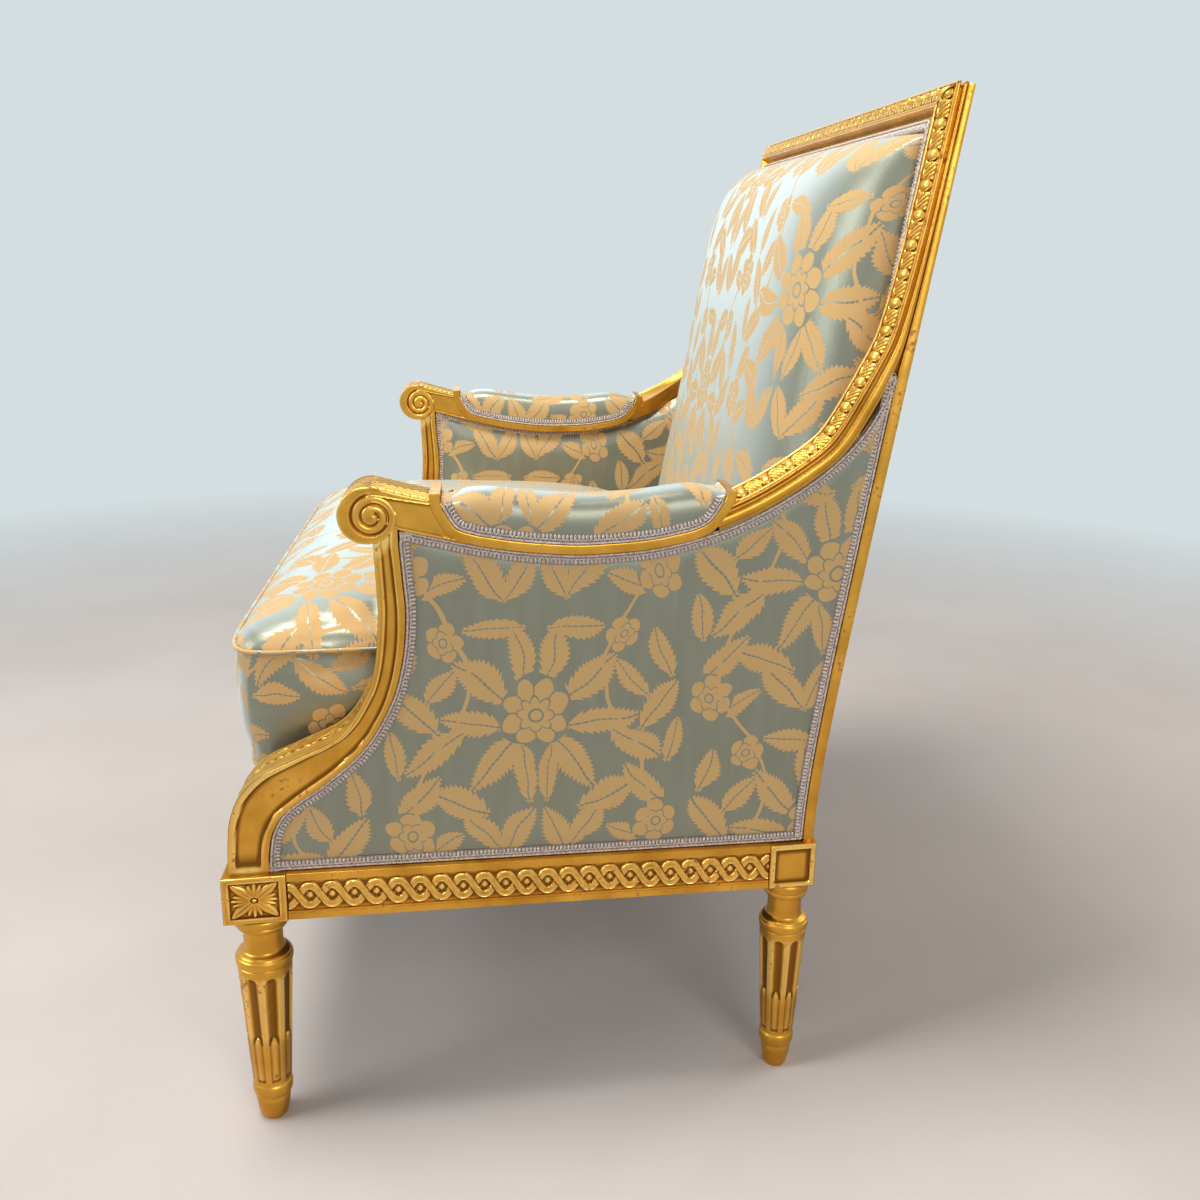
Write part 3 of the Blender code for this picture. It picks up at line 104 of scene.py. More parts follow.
SUPPORT_EDGE_FRONT = [(-0.024, 0.0), (-0.0225, 0.030), (-0.019, 0.058), (-0.009, 0.082), (0.011, 0.102),
                      (0.046, 0.118), (0.084, 0.136), (0.106, 0.164), (0.120, 0.199), (0.126, 0.256),
                      (0.124, 0.324)]
SUPPORT_EDGE_BACK = [(0.014, 0.0), (0.0155, 0.024), (0.021, 0.046), (0.0355, 0.066), (0.072, 0.0915),
                     (0.109, 0.125), (0.135, 0.169), (0.147, 0.212), (0.151, 0.255), (0.149, 0.290),
                     (0.1465, 0.324)]


# Arrays and lines

def mix(a, b, share):
    """The value a share of the way from a to b."""
    return a + (b - a) * share


def capped(share):
    """The share, held between 0 and 1."""
    return np.clip(share, 0.0, 1.0)


def ease(share):
    """A smooth step from 0 to 1: 3s^2 - 2s^3 between the two."""
    share = capped(share)
    return share * share * (3.0 - 2.0 * share)


def bell(off):
    """A smooth bump: e to the minus square of the distance."""
    return np.exp(-off ** 2)


def dome(*offs):
    """A round swell: the root of 1 less the squares of the distances, and 0 beyond."""
    left = 1.0
    for off in offs:
        left = left - off ** 2
    return np.sqrt(capped(left))


def circle(count):
    """Evenly spread angles of one turn."""
    return np.linspace(0.0, 2 * math.pi, count, endpoint=False)


def crowded(count):
    """Shares from -1 to 1 that crowd to both ends: the negative cosine of even angles."""
    return -np.cos(np.linspace(0.0, math.pi, count))


def points_of(*parts):
    """Points from their coordinates, spread to one shape."""
    return np.stack(np.broadcast_arrays(*parts), axis=-1)


def smooth_line(points, steps=12):
    """A Catmull-Rom curve through points (n, k), with a number of steps for each span."""
    p = np.asarray(points, float)
    p = np.vstack([2 * p[:1] - p[1:2], p, 2 * p[-1:] - p[-2:-1]])
    t = (np.arange(steps) / steps)[None, :, None]
    p0, p1, p2, p3 = (p[i:len(p) - 3 + i, None, :] for i in range(4))
    spans = 0.5 * (2 * p1 + (p2 - p0) * t + (2 * p0 - 5 * p1 + 4 * p2 - p3) * t ** 2
                   + (3 * p1 - p0 - 3 * p2 + p3) * t ** 3)
    return np.vstack([spans.reshape(-1, p.shape[1]), p[-2:-1]])


def lengths_of(line):
    """Length from the start of a line to each of its points."""
    steps = np.linalg.norm(np.diff(line, axis=0), axis=1)
    return np.concatenate([[0.0], np.cumsum(steps)])


def at_length(line, where):
    """Points of a line at lengths from its start."""
    s = lengths_of(line)
    return np.stack([np.interp(where, s, line[:, k]) for k in range(line.shape[1])], axis=-1)


def resample(line, count):
    """The line with evenly spaced points."""
    return at_length(line, np.linspace(0.0, lengths_of(line)[-1], count))


def plane_normals(line, closed=False):
    """Unit vectors to the left of a plane line at each of its points."""
    if closed:
        way = np.roll(line, -1, axis=0) - np.roll(line, 1, axis=0)
    else:
        way = np.gradient(line, axis=0)
    way /= np.maximum(np.linalg.norm(way, axis=-1, keepdims=True), 1e-12)
    return points_of(-way[..., 1], way[..., 0])


def blurred(height, rows, columns):
    """A height field averaged over a window of rows and columns."""
    for axis, size in ((0, rows), (1, columns)):
        pad = [(0, 0), (0, 0)]
        pad[axis] = (size, size)
        total = np.cumsum(np.pad(height, pad, mode="edge"), axis=axis)
        count = height.shape[axis]
        high = np.take(total, np.arange(count) + 2 * size, axis=axis)
        low = np.take(total, np.arange(count), axis=axis)
        height = (high - low) / (2 * size)
    return height


# The chair's lines

def side_x(y, out=0.0):
    """x of a point of the left side: half the front width less the taper, plus the distance out."""
    return FRONT_WIDTH / 2 - SIDE_TAPER * y + out


def centred(x, y, z):
    """Points in the shared frame from the chair's own y, which starts at the front legs' axis."""
    return points_of(x, y - MIDDLE, z)


def on_side(out, y, z):
    """Points that stand a distance out from the left side's plane."""
    return centred(side_x(y, out), y, z)


def rail_top(y):
    """Top of the seat rails: level at the front block, then falling evenly to the rear one."""
    start, end = FRONT_BLOCK / 2, LEG_SPAN - REAR_BLOCK / 2
    return RAIL_TOP - SEAT_FALL * capped((y - start) / (end - start))


FOOT_Z = float(rail_top(LEG_SPAN))


def lean_at(z):
    """The back edge's lean, a hyperbola that starts upright, and its slope."""
    rise = np.asarray(z, float) - FOOT_Z
    reach = np.hypot(rise, RAKE_EASE)
    return BACK_RAKE * (reach - RAKE_EASE), BACK_RAKE * rise / reach


def back_point(z, depth):
    """(y, z) of a point of the raked back: on the back edge at z, then square to it, forwards."""
    lean, slope = lean_at(z)
    size = np.hypot(1.0, slope)
    return LEG_SPAN + STILE_START + lean - depth / size, z + depth * slope / size


ARM_APEX_Z = ARM_DIP_Z + ARM_LINE[-1][1]
ARM_JOINT_Z = ARM_APEX_Z - BAND * BACK_RAKE
CREST_Z = HEIGHT - (LIP_DEPTH + CARVED_CANT) * BACK_RAKE


def lip_depth(z):
    """Depth of the front lip, which sweeps forward above the arm and dies away upwards."""
    return LIP_DEPTH + LIP_SWEEP * np.exp(-np.maximum(z - ARM_JOINT_Z, 0.0) / LIP_EASE)


def stile_depth(z):
    """Depth of the stile, eased from its foot's to its own over the height of the arm."""
    return mix(STILE_FOOT_DEPTH, STILE_DEPTH, ease((z - RAIL_TOP) / (ARM_APEX_Z - RAIL_TOP)))


def arm_line():
    """(y, z) of the arm's visible lower edge, from the support to the stile's plain band."""
    start = SCROLL_Y + SCROLL_RADIUS + 0.003
    end = float(back_point(ARM_APEX_Z, BAND)[0])
    return smooth_line([(mix(start, end, share), ARM_DIP_Z + rise) for share, rise in ARM_LINE])


def support_edge(points):
    """A console's edge, stretched to reach from the rail to under the scroll."""
    drawn_head = (SUPPORT_EDGE_FRONT[-1][0] + SUPPORT_EDGE_BACK[-1][0]) / 2
    drawn_height = points[-1][1]
    height = SCROLL_Z - SCROLL_RADIUS - 0.001 - RAIL_TOP
    shift = SUPPORT_HEAD_Y - drawn_head
    return smooth_line([(y + shift * h / drawn_height, RAIL_TOP + h * height / drawn_height)
                        for y, h in points])


def arm_width(y):
    """Width of the arm, which eases from the back clip's to the stile's."""
    return mix(ARM_WIDTH, ARM_END_WIDTH, ease((y - CLIP_BACK_Y) / (LEG_SPAN - CLIP_BACK_Y)))


def inner_out(y):
    """How far in from the side line the inside panel's backing lies."""
    front = -(FRAME_SET + SUPPORT_WIDTH - REBATE)
    return mix(front, front + 0.011, (y - SCROLL_Y) / (LEG_SPAN - SCROLL_Y))


# Meshes

def grid_faces(rows, columns, around, closed=False):
    """Quads of a grid of points; around joins its last column to its first, and closed its rows."""
    a = np.arange(rows * columns).reshape(rows, columns)
    if closed:
        a = np.concatenate([a, a[:1]], axis=0)
    if around:
        a = np.concatenate([a, a[:, :1]], axis=1)
    return points_of(a[:-1, :-1], a[:-1, 1:], a[1:, 1:], a[1:, :-1]).reshape(-1, 4)


def volume_of(points, quads):
    """Signed volume under the quads, each as two triangles about the origin."""
    a, b, c, d = (points[quads[:, k]] for k in range(4))
    return (np.einsum("ij,ij->i", a, np.cross(b, c)) + np.einsum("ij,ij->i", a, np.cross(c, d))).sum()


def set_cloth_map(mesh, uv):
    """Write a cloth map in metres, one row for each vertex."""
    index = np.empty(len(mesh.loops), np.int32)
    mesh.loops.foreach_get("vertex_index", index)
    layer = mesh.uv_layers.get("cloth") or mesh.uv_layers.new(name="cloth")
    layer.data.foreach_set("uv", np.asarray(uv, np.float32).reshape(-1, 2)[index].ravel())


def add_object(name, data):
    """A new object in the scene."""
    item = bpy.data.objects.new(name, data)
    bpy.context.scene.collection.objects.link(item)
    return item


def make_piece(name, points, quads, caps, finish, slot, body="frame", relief=None, uv=None, crease=40.0):
    """One mesh from points, quads and cap outlines, turned so that its faces point out."""
    points = np.asarray(points, float).reshape(-1, 3)
    if volume_of(points - points.mean(0), quads) < 0.0:
        quads = quads[:, ::-1]
        caps = [cap[::-1] for cap in caps]
    faces = quads.tolist() + [list(cap) for cap in caps]
    mesh = bpy.data.meshes.new(name)
    mesh.from_pydata(points.tolist(), [], faces)
    mesh.shade_smooth()
    mesh.set_sharp_from_angle(angle=math.radians(crease))
    if relief is not None:
        layer = mesh.attributes.new("relief", "FLOAT", "POINT")
        layer.data.foreach_set("value", np.asarray(relief, np.float32).ravel())
    if uv is not None:
        set_cloth_map(mesh, uv)
    mesh.materials.append(finish)
    piece = add_object(name, mesh)
    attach(piece, body)
    return piece


def skin(name, rings, finish, slot, **more):
    """A closed body from a row of closed rings (n, m, 3), with flat ends."""
    rows, columns = rings.shape[:2]
    a = np.arange(rows * columns).reshape(rows, columns)
    caps = [a[0, ::-1].tolist(), a[-1].tolist()]
    return make_piece(name, rings, grid_faces(rows, columns, True), caps, finish, slot, **more)


def joined_skins(name, bodies, finish, slot, relief=None, **more):
    """Several closed bodies, each a row of rings, in one mesh."""
    points, quads, caps, start = [], [], [], 0
    for rings in bodies:
        rows, columns = rings.shape[:2]
        body_quads = grid_faces(rows, columns, True)
        flat = rings.reshape(-1, 3)
        ends = [list(range(columns))[::-1], list(range((rows - 1) * columns, rows * columns))]
        if volume_of(flat - flat.mean(0), body_quads) < 0.0:
            body_quads = body_quads[:, ::-1]
            ends = [end[::-1] for end in ends]
        points.append(flat)
        quads.append(body_quads + start)
        caps += [[i + start for i in end] for end in ends]
        start += len(flat)
    return make_piece(name, np.vstack(points), np.vstack(quads), caps, finish, slot, relief=relief, **more)


def as_drawn(points):
    """The left piece's points, left as they are."""
    return points


def mirrored(points):
    """The points with x reversed."""
    return points * np.array([-1.0, 1.0, 1.0])


def pair(name, make, *nodes):
    """The left piece as drawn and its mirror image on the right, each standing for its own nodes."""
    for side, turn in (("left", as_drawn), ("right", mirrored)):
        piece = make(f"{name}_{side}", turn)
        if nodes:
            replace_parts(piece, *[f"{node}_{side}" for node in nodes])


# Materials

class Value:
    """A node's output that takes part in sums; each sign adds one Math node."""

    def __init__(self, socket):
        self.socket = socket

    def __add__(self, other):
        return maths("ADD", self, other)

    def __radd__(self, other):
        return maths("ADD", other, self)

    def __sub__(self, other):
        return maths("SUBTRACT", self, other)

    def __rsub__(self, other):
        return maths("SUBTRACT", other, self)

    def __mul__(self, other):
        return maths("MULTIPLY", self, other)

    def __truediv__(self, other):
        return maths("DIVIDE", self, other)

    def __lt__(self, other):
        return maths("LESS_THAN", self, other)

    def __gt__(self, other):
        return maths("GREATER_THAN", self, other)

    def __abs__(self):
        return maths("ABSOLUTE", self)


def connect(socket, value):
    """Link a value to a socket, or set the socket to a number or a colour."""
    if isinstance(value, Value):
        socket.id_data.links.new(value.socket, socket)
    elif isinstance(value, tuple) and socket.type == "RGBA":
        socket.default_value = (*value, 1.0)
    else:
        socket.default_value = value


def maths(operation, a, b=0.0, clamp=False):
    """One Math node on values or numbers."""
    tree = (a if isinstance(a, Value) else b).socket.id_data
    node = tree.nodes.new("ShaderNodeMath")
    node.operation = operation
    node.use_clamp = clamp
    connect(node.inputs[0], a)
    connect(node.inputs[1], b)
    return Value(node.outputs[0])


def material_of(name):
    """A new material, its node tree and its Principled shader."""
    material = bpy.data.materials.new(name)
    material.use_nodes = True
    return material, material.node_tree, material.node_tree.nodes["Principled BSDF"]


def node_in(tree, kind, **values):
    """A new node, with its settings and the values of its sockets."""
    node = tree.nodes.new(kind)
    for key, value in values.items():
        if hasattr(node, key):
            setattr(node, key, value)
        else:
            connect(node.inputs[key.replace("_", " ")], value)
    return node


def finish_shader(shader, **values):
    """Set or link the shader's sockets, named with _ for each blank."""
    for key, value in values.items():
        connect(shader.inputs[key.replace("_", " ")], value)


def object_place(tree):
    """Object coordinates."""
    return Value(node_in(tree, "ShaderNodeTexCoord").outputs["Object"])


def relief_of(tree):
    """How sunk the surface is, from the piece's relief attribute."""
    return Value(node_in(tree, "ShaderNodeAttribute", attribute_name="relief").outputs["Fac"])


def parts_of(vector):
    """The x, y and z of a vector."""
    node = node_in(vector.socket.id_data, "ShaderNodeSeparateXYZ")
    connect(node.inputs[0], vector)
    return [Value(output) for output in node.outputs]


def blend(share, first, second):
    """A colour between two."""
    node = node_in(share.socket.id_data, "ShaderNodeMix", data_type="RGBA")
    for k, value in ((0, share), (6, first), (7, second)):
        connect(node.inputs[k], value)
    return Value(node.outputs[2])


def ramp(source, *stops):
    """A share read through a ramp of (position, grey) stops."""
    node = node_in(source.socket.id_data, "ShaderNodeValToRGB")
    for element, (position, grey) in zip(node.color_ramp.elements, stops):
        element.position = position
        element.color = (grey, grey, grey, 1.0)
    connect(node.inputs[0], source)
    return Value(node.outputs[0])


def noise_in(where, scale, detail=3.0, stretch=None):
    """Noise on a vector, stretched along its axes if asked."""
    tree = where.socket.id_data
    if stretch:
        mapping = node_in(tree, "ShaderNodeMapping")
        mapping.inputs["Scale"].default_value = stretch
        connect(mapping.inputs["Vector"], where)
        where = Value(mapping.outputs[0])
    node = node_in(tree, "ShaderNodeTexNoise", Scale=scale, Detail=detail)
    connect(node.inputs["Vector"], where)
    return Value(node.outputs[0])


def bump_from(shader, height, strength, distance):
    """Bump from a height."""
    node = node_in(height.socket.id_data, "ShaderNodeBump", Strength=strength, Distance=distance)
    connect(node.inputs["Height"], height)
    connect(shader.inputs["Normal"], Value(node.outputs[0]))


def gilding(name, wear):
    """Water gilding over red bole: burnished gold with painted shade in the hollows and a painted highlight
    on the ridges, rubbed on the ridges.
    """
    material, tree, shader = material_of(name)
    where = object_place(tree)
    depth = relief_of(tree)
    cloud = noise_in(where, 22.0, 4.0)
    fine = noise_in(where, 190.0, 5.0)
    gold = blend(ramp(cloud, (0.32, 0.0), (0.70, 1.0)), (0.56, 0.265, 0.028), (0.82, 0.430, 0.068))
    # Painted shade: sunk points, read from the relief attribute, are darkened towards deep brown
    hollow_shade = maths("MULTIPLY", maths("MAXIMUM", depth, 0.0), 1.35, clamp=True)
    hollow_shaded = blend(hollow_shade, gold, (0.215, 0.085, 0.010))
    ridge = maths("MULTIPLY", maths("MAXIMUM", depth * -1.0, 0.0), 0.9, clamp=True)
    # Painted highlight: raised points, read from the relief attribute, are lightened towards pale yellow
    ridge_highlit = blend(ridge, hollow_shaded, (0.98, 0.66, 0.20))
    rubbed = cloud * 0.45 + fine * 0.55 + ridge * 0.07
    rubbed = ramp(rubbed, (0.63 - wear, 0.0), (0.70 - wear, 1.0))
    finish_shader(shader, Base_Color=blend(rubbed * 0.72, ridge_highlit, (0.26, 0.060, 0.022)))
    finish_shader(shader, Roughness=fine * 0.20 + 0.22 + rubbed * 0.20)
    finish_shader(shader, Metallic=0.96 - rubbed * 0.55)
    bump_from(shader, fine, 0.16, 0.0006)
    return material


def leaf(x, y, centre, turn, length, width, teeth):
    """1 inside a pointed leaf, a lens between two arcs, with a bare vein and toothed edges."""
    c, s = math.cos(turn), math.sin(turn)
    dx, dy = x - centre[0], y - centre[1]
    along_leaf = dx * (c / length) + dy * (s / length)
    off = abs(dx * (-s / width) + dy * (c / width))
    round_by = along_leaf * along_leaf + off
    saw = maths("PINGPONG", along_leaf + (4.0 - off * 0.35), 0.5 / teeth)
    inside = round_by + saw * (0.50 * teeth) < 1.12
    return inside * (off + saw * (0.12 * teeth) > 0.085)


def flower(x, y, centre, size, petals):
    """1 inside a flower of two rings of round petals, parted by bare lines, round a bare-rimmed eye."""
    dx, dy = x - centre[0], y - centre[1]
    reach = maths("SQRT", dx * dx + dy * dy) * (1.0 / size)
    angle = maths("ARCTAN2", dy, dx)
    outer = abs(maths("SINE", angle * (petals / 2)))
    inner = abs(maths("COSINE", angle * (petals / 2)))
    whole = reach < 0.76 + outer * 0.24
    line = abs(reach - (0.40 + inner * 0.17)) > 0.028
    parting = maths("MAXIMUM", outer > 0.13, reach < 0.56)
    rim = abs(reach - 0.20) > 0.035
    return whole * line * parting * rim


# The cloth's repeat, in metres and radians
REPEAT_WIDE, REPEAT_TALL = 0.140, 0.250
PATTERN_SIZE = 1.07
# Centre, turn, half length, half width and teeth of each leaf
LEAVES = [
    ((0.034, 0.101), -0.95, 0.036, 0.0150, 7.0), ((0.011, 0.088), 1.42, 0.028, 0.0100, 6.0),
    ((0.062, 0.139), 0.10, 0.032, 0.0140, 6.0), ((0.050, 0.181), 0.80, 0.034, 0.0145, 7.0),
    ((0.015, 0.201), 1.35, 0.030, 0.0125, 6.0), ((0.093, 0.112), -0.62, 0.032, 0.0130, 6.0),
    ((0.112, 0.152), 0.95, 0.032, 0.0135, 6.0), ((0.086, 0.178), 2.20, 0.026, 0.0105, 5.0),
    ((0.118, 0.204), 1.85, 0.026, 0.0110, 5.0), ((0.104, 0.070), 2.35, 0.030, 0.0125, 6.0),
    ((0.066, 0.064), 0.45, 0.032, 0.0135, 6.0), ((0.046, 0.034), 0.95, 0.030, 0.0125, 6.0),
    ((0.084, 0.022), 2.75, 0.024, 0.0100, 5.0), ((0.017, 0.032), 2.05, 0.028, 0.0115, 6.0),
    ((0.036, 0.229), 0.15, 0.028, 0.0105, 5.0), ((0.127, 0.112), 1.40, 0.024, 0.0090, 5.0),
]
# Centre, size and petals of each flower
FLOWERS = [((0.0, 0.148), 0.034, 8.0), ((0.114, 0.032), 0.024, 6.0), ((0.078, 0.222), 0.017, 5.0)]


def lampas(name):
    """Figured silk: matt pale-gold leaves and flowers on a shining sage satin ground, its sheen partly
    painted into the ground's colour.

    The cloth map is in metres. A repeat of it, mirrored left and right and dropped by half in every
    second column, holds toothed lens-shaped leaves, round flowers and a winding stem."""
    material, tree, shader = material_of(name)
    cloth = Value(node_in(tree, "ShaderNodeUVMap", uv_map="cloth").outputs[0])
    warp = node_in(tree, "ShaderNodeTexNoise", Scale=11.0, Detail=2.0)
    connect(warp.inputs["Vector"], cloth)
    sway = node_in(tree, "ShaderNodeVectorMath", operation="MULTIPLY_ADD")
    for socket, value in zip(sway.inputs, (Value(warp.outputs["Color"]), (0.034, 0.034, 0.0), cloth)):
        connect(socket, value)
    weft, warp_way = parts_of(Value(sway.outputs[0]))[:2]
    weft, warp_way = weft * (1.0 / PATTERN_SIZE), warp_way * (1.0 / PATTERN_SIZE)
    column = maths("FLOOR", (weft + REPEAT_WIDE) / (2 * REPEAT_WIDE))
    drop = maths("MODULO", abs(column), 2.0) * (REPEAT_TALL / 2)
    x = maths("PINGPONG", weft, REPEAT_WIDE)
    y = maths("WRAP", warp_way + drop, REPEAT_TALL)
    y.socket.node.inputs[2].default_value = 0.0
    motif = None
    for spec in LEAVES:
        shape = leaf(x, y, *spec)
        motif = maths("MAXIMUM", motif, shape) if motif else shape
    for centre, size, petals in FLOWERS:
        dx, dy = x - centre[0], y - centre[1]
        motif = motif * (dx * dx + dy * dy > (1.06 * size) ** 2)
        motif = maths("MAXIMUM", motif, flower(x, y, centre, size, petals))
    bend = maths("SINE", y * (2 * math.pi / REPEAT_TALL)) * 0.024
    motif = maths("MAXIMUM", motif, abs(x - (bend + 0.084)) < 0.0018)
    weave = noise_in(cloth, 1.0, 1.0, (2600.0, 900.0, 1.0))
    slub = noise_in(cloth, 1.0, 2.0, (60.0, 9.0, 1.0))
    ground = blend(slub, (0.225, 0.232, 0.172), (0.300, 0.308, 0.242))
    # Painted sheen: the ground's colour is blended towards pale aqua where the surface is seen edge-on, a
    # painted reflection of the light
    sheen_facing = Value(node_in(tree, "ShaderNodeLayerWeight", Blend=0.5).outputs["Facing"])
    ground = blend(ramp(sheen_facing, (0.30, 0.0), (0.85, 0.85)), ground, (0.70, 0.79, 0.78))
    figure = blend(weave, (0.52, 0.320, 0.120), (0.70, 0.460, 0.200))
    finish_shader(shader, Base_Color=blend(motif, ground, figure))
    finish_shader(shader, Roughness=motif * 0.40 + 0.35)
    finish_shader(shader, Metallic=0.55 - motif * 0.55)
    finish_shader(shader, Sheen_Weight=0.30, Sheen_Roughness=0.35, Sheen_Tint=(0.80, 0.95, 0.93))
    bump_from(shader, weave + motif * 1.5, 0.30, 0.00025)
    return material


def plain_weave(name, colour, thread, rough=0.9):
    """Coarse cloth of crossed threads, on Object coordinates."""
    material, tree, shader = material_of(name)
    where = object_place(tree)
    waves = [maths("SINE", part * (math.pi / thread)) for part in parts_of(where)]
    net = waves[0] * maths("MAXIMUM", waves[1], waves[2])
    share = maths("ADD", net * 0.25, 0.5, clamp=True)
    mottled = share * (noise_in(where, 90.0) + 0.35)
    finish_shader(shader, Base_Color=blend(mottled, tuple(0.55 * c for c in colour), colour), Roughness=rough)
    bump_from(shader, net, 0.4, 0.0005)
    return material


def passementerie(name):
    """Braid of lilac-taupe and cream yarn, mottled, with painted shade where it lies deep."""
    material, tree, shader = material_of(name)
    where = object_place(tree)
    yarn = noise_in(where, 420.0, 2.0)
    tone = noise_in(where, 60.0, 2.0)
    depth = relief_of(tree)
    colour = blend(ramp(yarn, (0.38, 0.0), (0.62, 1.0)), (0.47, 0.375, 0.335), (0.86, 0.775, 0.690))
    colour = blend(tone * 0.35, colour, (0.58, 0.475, 0.450))
    # Painted shade: where the relief says the braid lies deep, its colour is darkened
    deep = maths("MULTIPLY", maths("MAXIMUM", depth, 0.0), 0.8, clamp=True)
    colour = blend(deep, colour, (0.13, 0.10, 0.095))
    finish_shader(shader, Base_Color=colour, Roughness=0.75, Sheen_Weight=0.25)
    bump_from(shader, yarn, 0.5, 0.0004)
    return material


def beech_wood(name):
    """Plain beech: fine grain along the timber, with short dark flecks."""
    material, tree, shader = material_of(name)
    where = object_place(tree)
    grain = noise_in(where, 1.0, 5.0, (18.0, 160.0, 160.0))
    fleck = noise_in(where, 1.0, 2.0, (160.0, 900.0, 900.0))
    colour = blend(grain, (0.42, 0.26, 0.13), (0.60, 0.42, 0.24))
    colour = blend(ramp(fleck, (0.60, 0.0), (0.70, 0.6)), colour, (0.26, 0.14, 0.07))
    finish_shader(shader, Base_Color=colour, Roughness=0.62)
    bump_from(shader, grain, 0.2, 0.0005)
    return material


GOLD = gilding("gilding", 0.02)
WORN_GOLD = gilding("rubbed gilding", 0.055)
SILK = lampas("figured silk")
BRAID = passementerie("braid")
BEECH = beech_wood("beech")
JUTE = plain_weave("jute webbing", (0.50, 0.38, 0.22), 0.0022)
HESSIAN = plain_weave("black cloth", (0.055, 0.053, 0.050), 0.0011)

for start, finish in (("corner_brace", BEECH), ("lower_back_rail", BEECH), ("side_batten", BEECH),
                      ("seat_webbing", JUTE), ("back_webbing", JUTE), ("dust_cover", HESSIAN),
                      ("back_rail", GOLD)):
    for node_name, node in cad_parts.items():
        if node_name.startswith(start):
            node.data.materials.clear()
            node.data.materials.append(finish)


# Covers and pads

def cover_piece(name, front, back, uv, turn):
    """A closed pad between a shown grid and a hidden one of the same size, walled at the rim."""
    rows, columns = front.shape[:2]
    count = rows * columns
    a = np.arange(count).reshape(rows, columns)
    rim = np.concatenate([a[0, :-1], a[:-1, -1], a[-1, :0:-1], a[:0:-1, 0]])
    following = np.roll(rim, -1)
    face = grid_faces(rows, columns, False)
    wall = points_of(following, rim, rim + count, following + count)
    quads = np.vstack([face, face[:, ::-1] + count, wall])
    points = turn(np.concatenate([front.reshape(-1, 3), back.reshape(-1, 3)]))
    uvs = np.concatenate([uv.reshape(-1, 2), uv.reshape(-1, 2)])
    piece = make_piece(name, points, quads, [], SILK, "lampas", uv=uvs, crease=60.0)
    return piece


def coons(bottom, top, front, back, u, v):
    """A Coons patch: points spread between four edges, given as functions of a share."""
    uu, vv = np.meshgrid(u, v)
    b, t = bottom(u)[None], top(u)[None]
    f, k = front(v)[:, None], back(v)[:, None]
    uu, vv = uu[..., None], vv[..., None]
    corners = mix(mix(b[:, :1], b[:, -1:], uu), mix(t[:, :1], t[:, -1:], uu), vv)
    return mix(b, t, vv) + mix(f, k, uu) - corners


def along(line):
    """A function that gives the points of a line at shares of its length."""
    total = lengths_of(line)[-1]
    return lambda share: at_length(line, np.asarray(share) * total)


def grid_lengths(grid, axis):
    """Length to each point of a grid of points along its rows (axis 1) or its columns (axis 0)."""
    ahead = [(0, 0), (0, 0)]
    ahead[axis] = (1, 0)
    return np.cumsum(np.pad(np.linalg.norm(np.diff(grid, axis=axis), axis=-1), ahead), axis=axis)


def rim_distance(plan):
    """Distances of each grid point from the four edges, along the grid's own rows and columns."""
    left, low = grid_lengths(plan, 1), grid_lengths(plan, 0)
    return left, left[:, -1:] - left, low, low[-1:] - low


def panel_edges(inner):
    """Floor, arm, console and stile lines round a side panel, in the plane of the side."""
    front_line = support_edge(SUPPORT_EDGE_BACK)
    top_line = arm_line()
    if inner:
        clearance = STILE_FOOT_DEPTH + 0.024
        limit = back_point(top_line[:, 1], clearance)[0]
        top_line = top_line[top_line[:, 0] <= limit]
        apex = top_line[-1]
        back_z = np.linspace(float(rail_top(LEG_SPAN)), apex[1], 60)
        back_line = np.stack(back_point(back_z, clearance), axis=-1)
        back_line[-1] = apex
    else:
        apex = top_line[-1]
        back_z = np.linspace(float(rail_top(LEG_SPAN)), apex[1] - BAND * BACK_RAKE, 60)
        back_line = np.vstack([np.stack(back_point(back_z, BAND), axis=-1), apex])
    front_line = np.vstack([front_line, top_line[0]])
    floor_y = np.array([front_line[0, 0], FRONT_BLOCK / 2, LEG_SPAN - REAR_BLOCK / 2, back_line[0, 0]])
    if inner:
        floor_y = floor_y[[0, 1, 3]]
    floor = points_of(floor_y, rail_top(floor_y) + (0.0045 if inner else GAP))
    front_line[0] = floor[0]
    back_line[0] = floor[-1]
    return floor, top_line, front_line, back_line


def side_panel(name, turn, inner):
    """Stretched silk over stuffing: its depth rises steeply off the frame as a quarter ellipse of the
    distance from each edge, and stays nearly flat over the middle."""
    floor, top_line, front_line, back_line = panel_edges(inner)
    u = 0.5 + 0.5 * crowded(96)
    v = 0.5 + 0.5 * crowded(80)
    plan = coons(along(floor), along(top_line), along(front_line), along(back_line), u, v)
    soft = 0.040 if inner else 0.028
    rise = 0.016 if inner else 0.0045
    full = 1.0
    for reach in rim_distance(plan):
        near = capped(reach / soft)
        full = full * (1.0 - (1.0 - near) ** 2.4)
    y, z = plan[..., 0], plan[..., 1]
    if inner:
        base, sign = inner_out(y), -1.0
    else:
        base, sign = -(FRAME_SET + REBATE) + GAP, 1.0
    shown = on_side(base + sign * (0.0012 + rise * full), y, z)
    hidden = on_side(base, y, z)
    uv = points_of(y - 0.2905, z - CLOTH_ZERO_Z)
    return cover_piece(name, shown, hidden, uv, turn)


pair("outer_side_cover", lambda *piece: side_panel(*piece, False), "side_panel_outer")
pair("inner_side_cover", lambda *piece: side_panel(*piece, True), "side_panel_inner")


def frame_half(z, depth):
    """Half the clear width between the stiles at a height and depth."""
    return side_x(back_point(z, depth)[0], -FRAME_SET - FRAME_FACE - GAP)


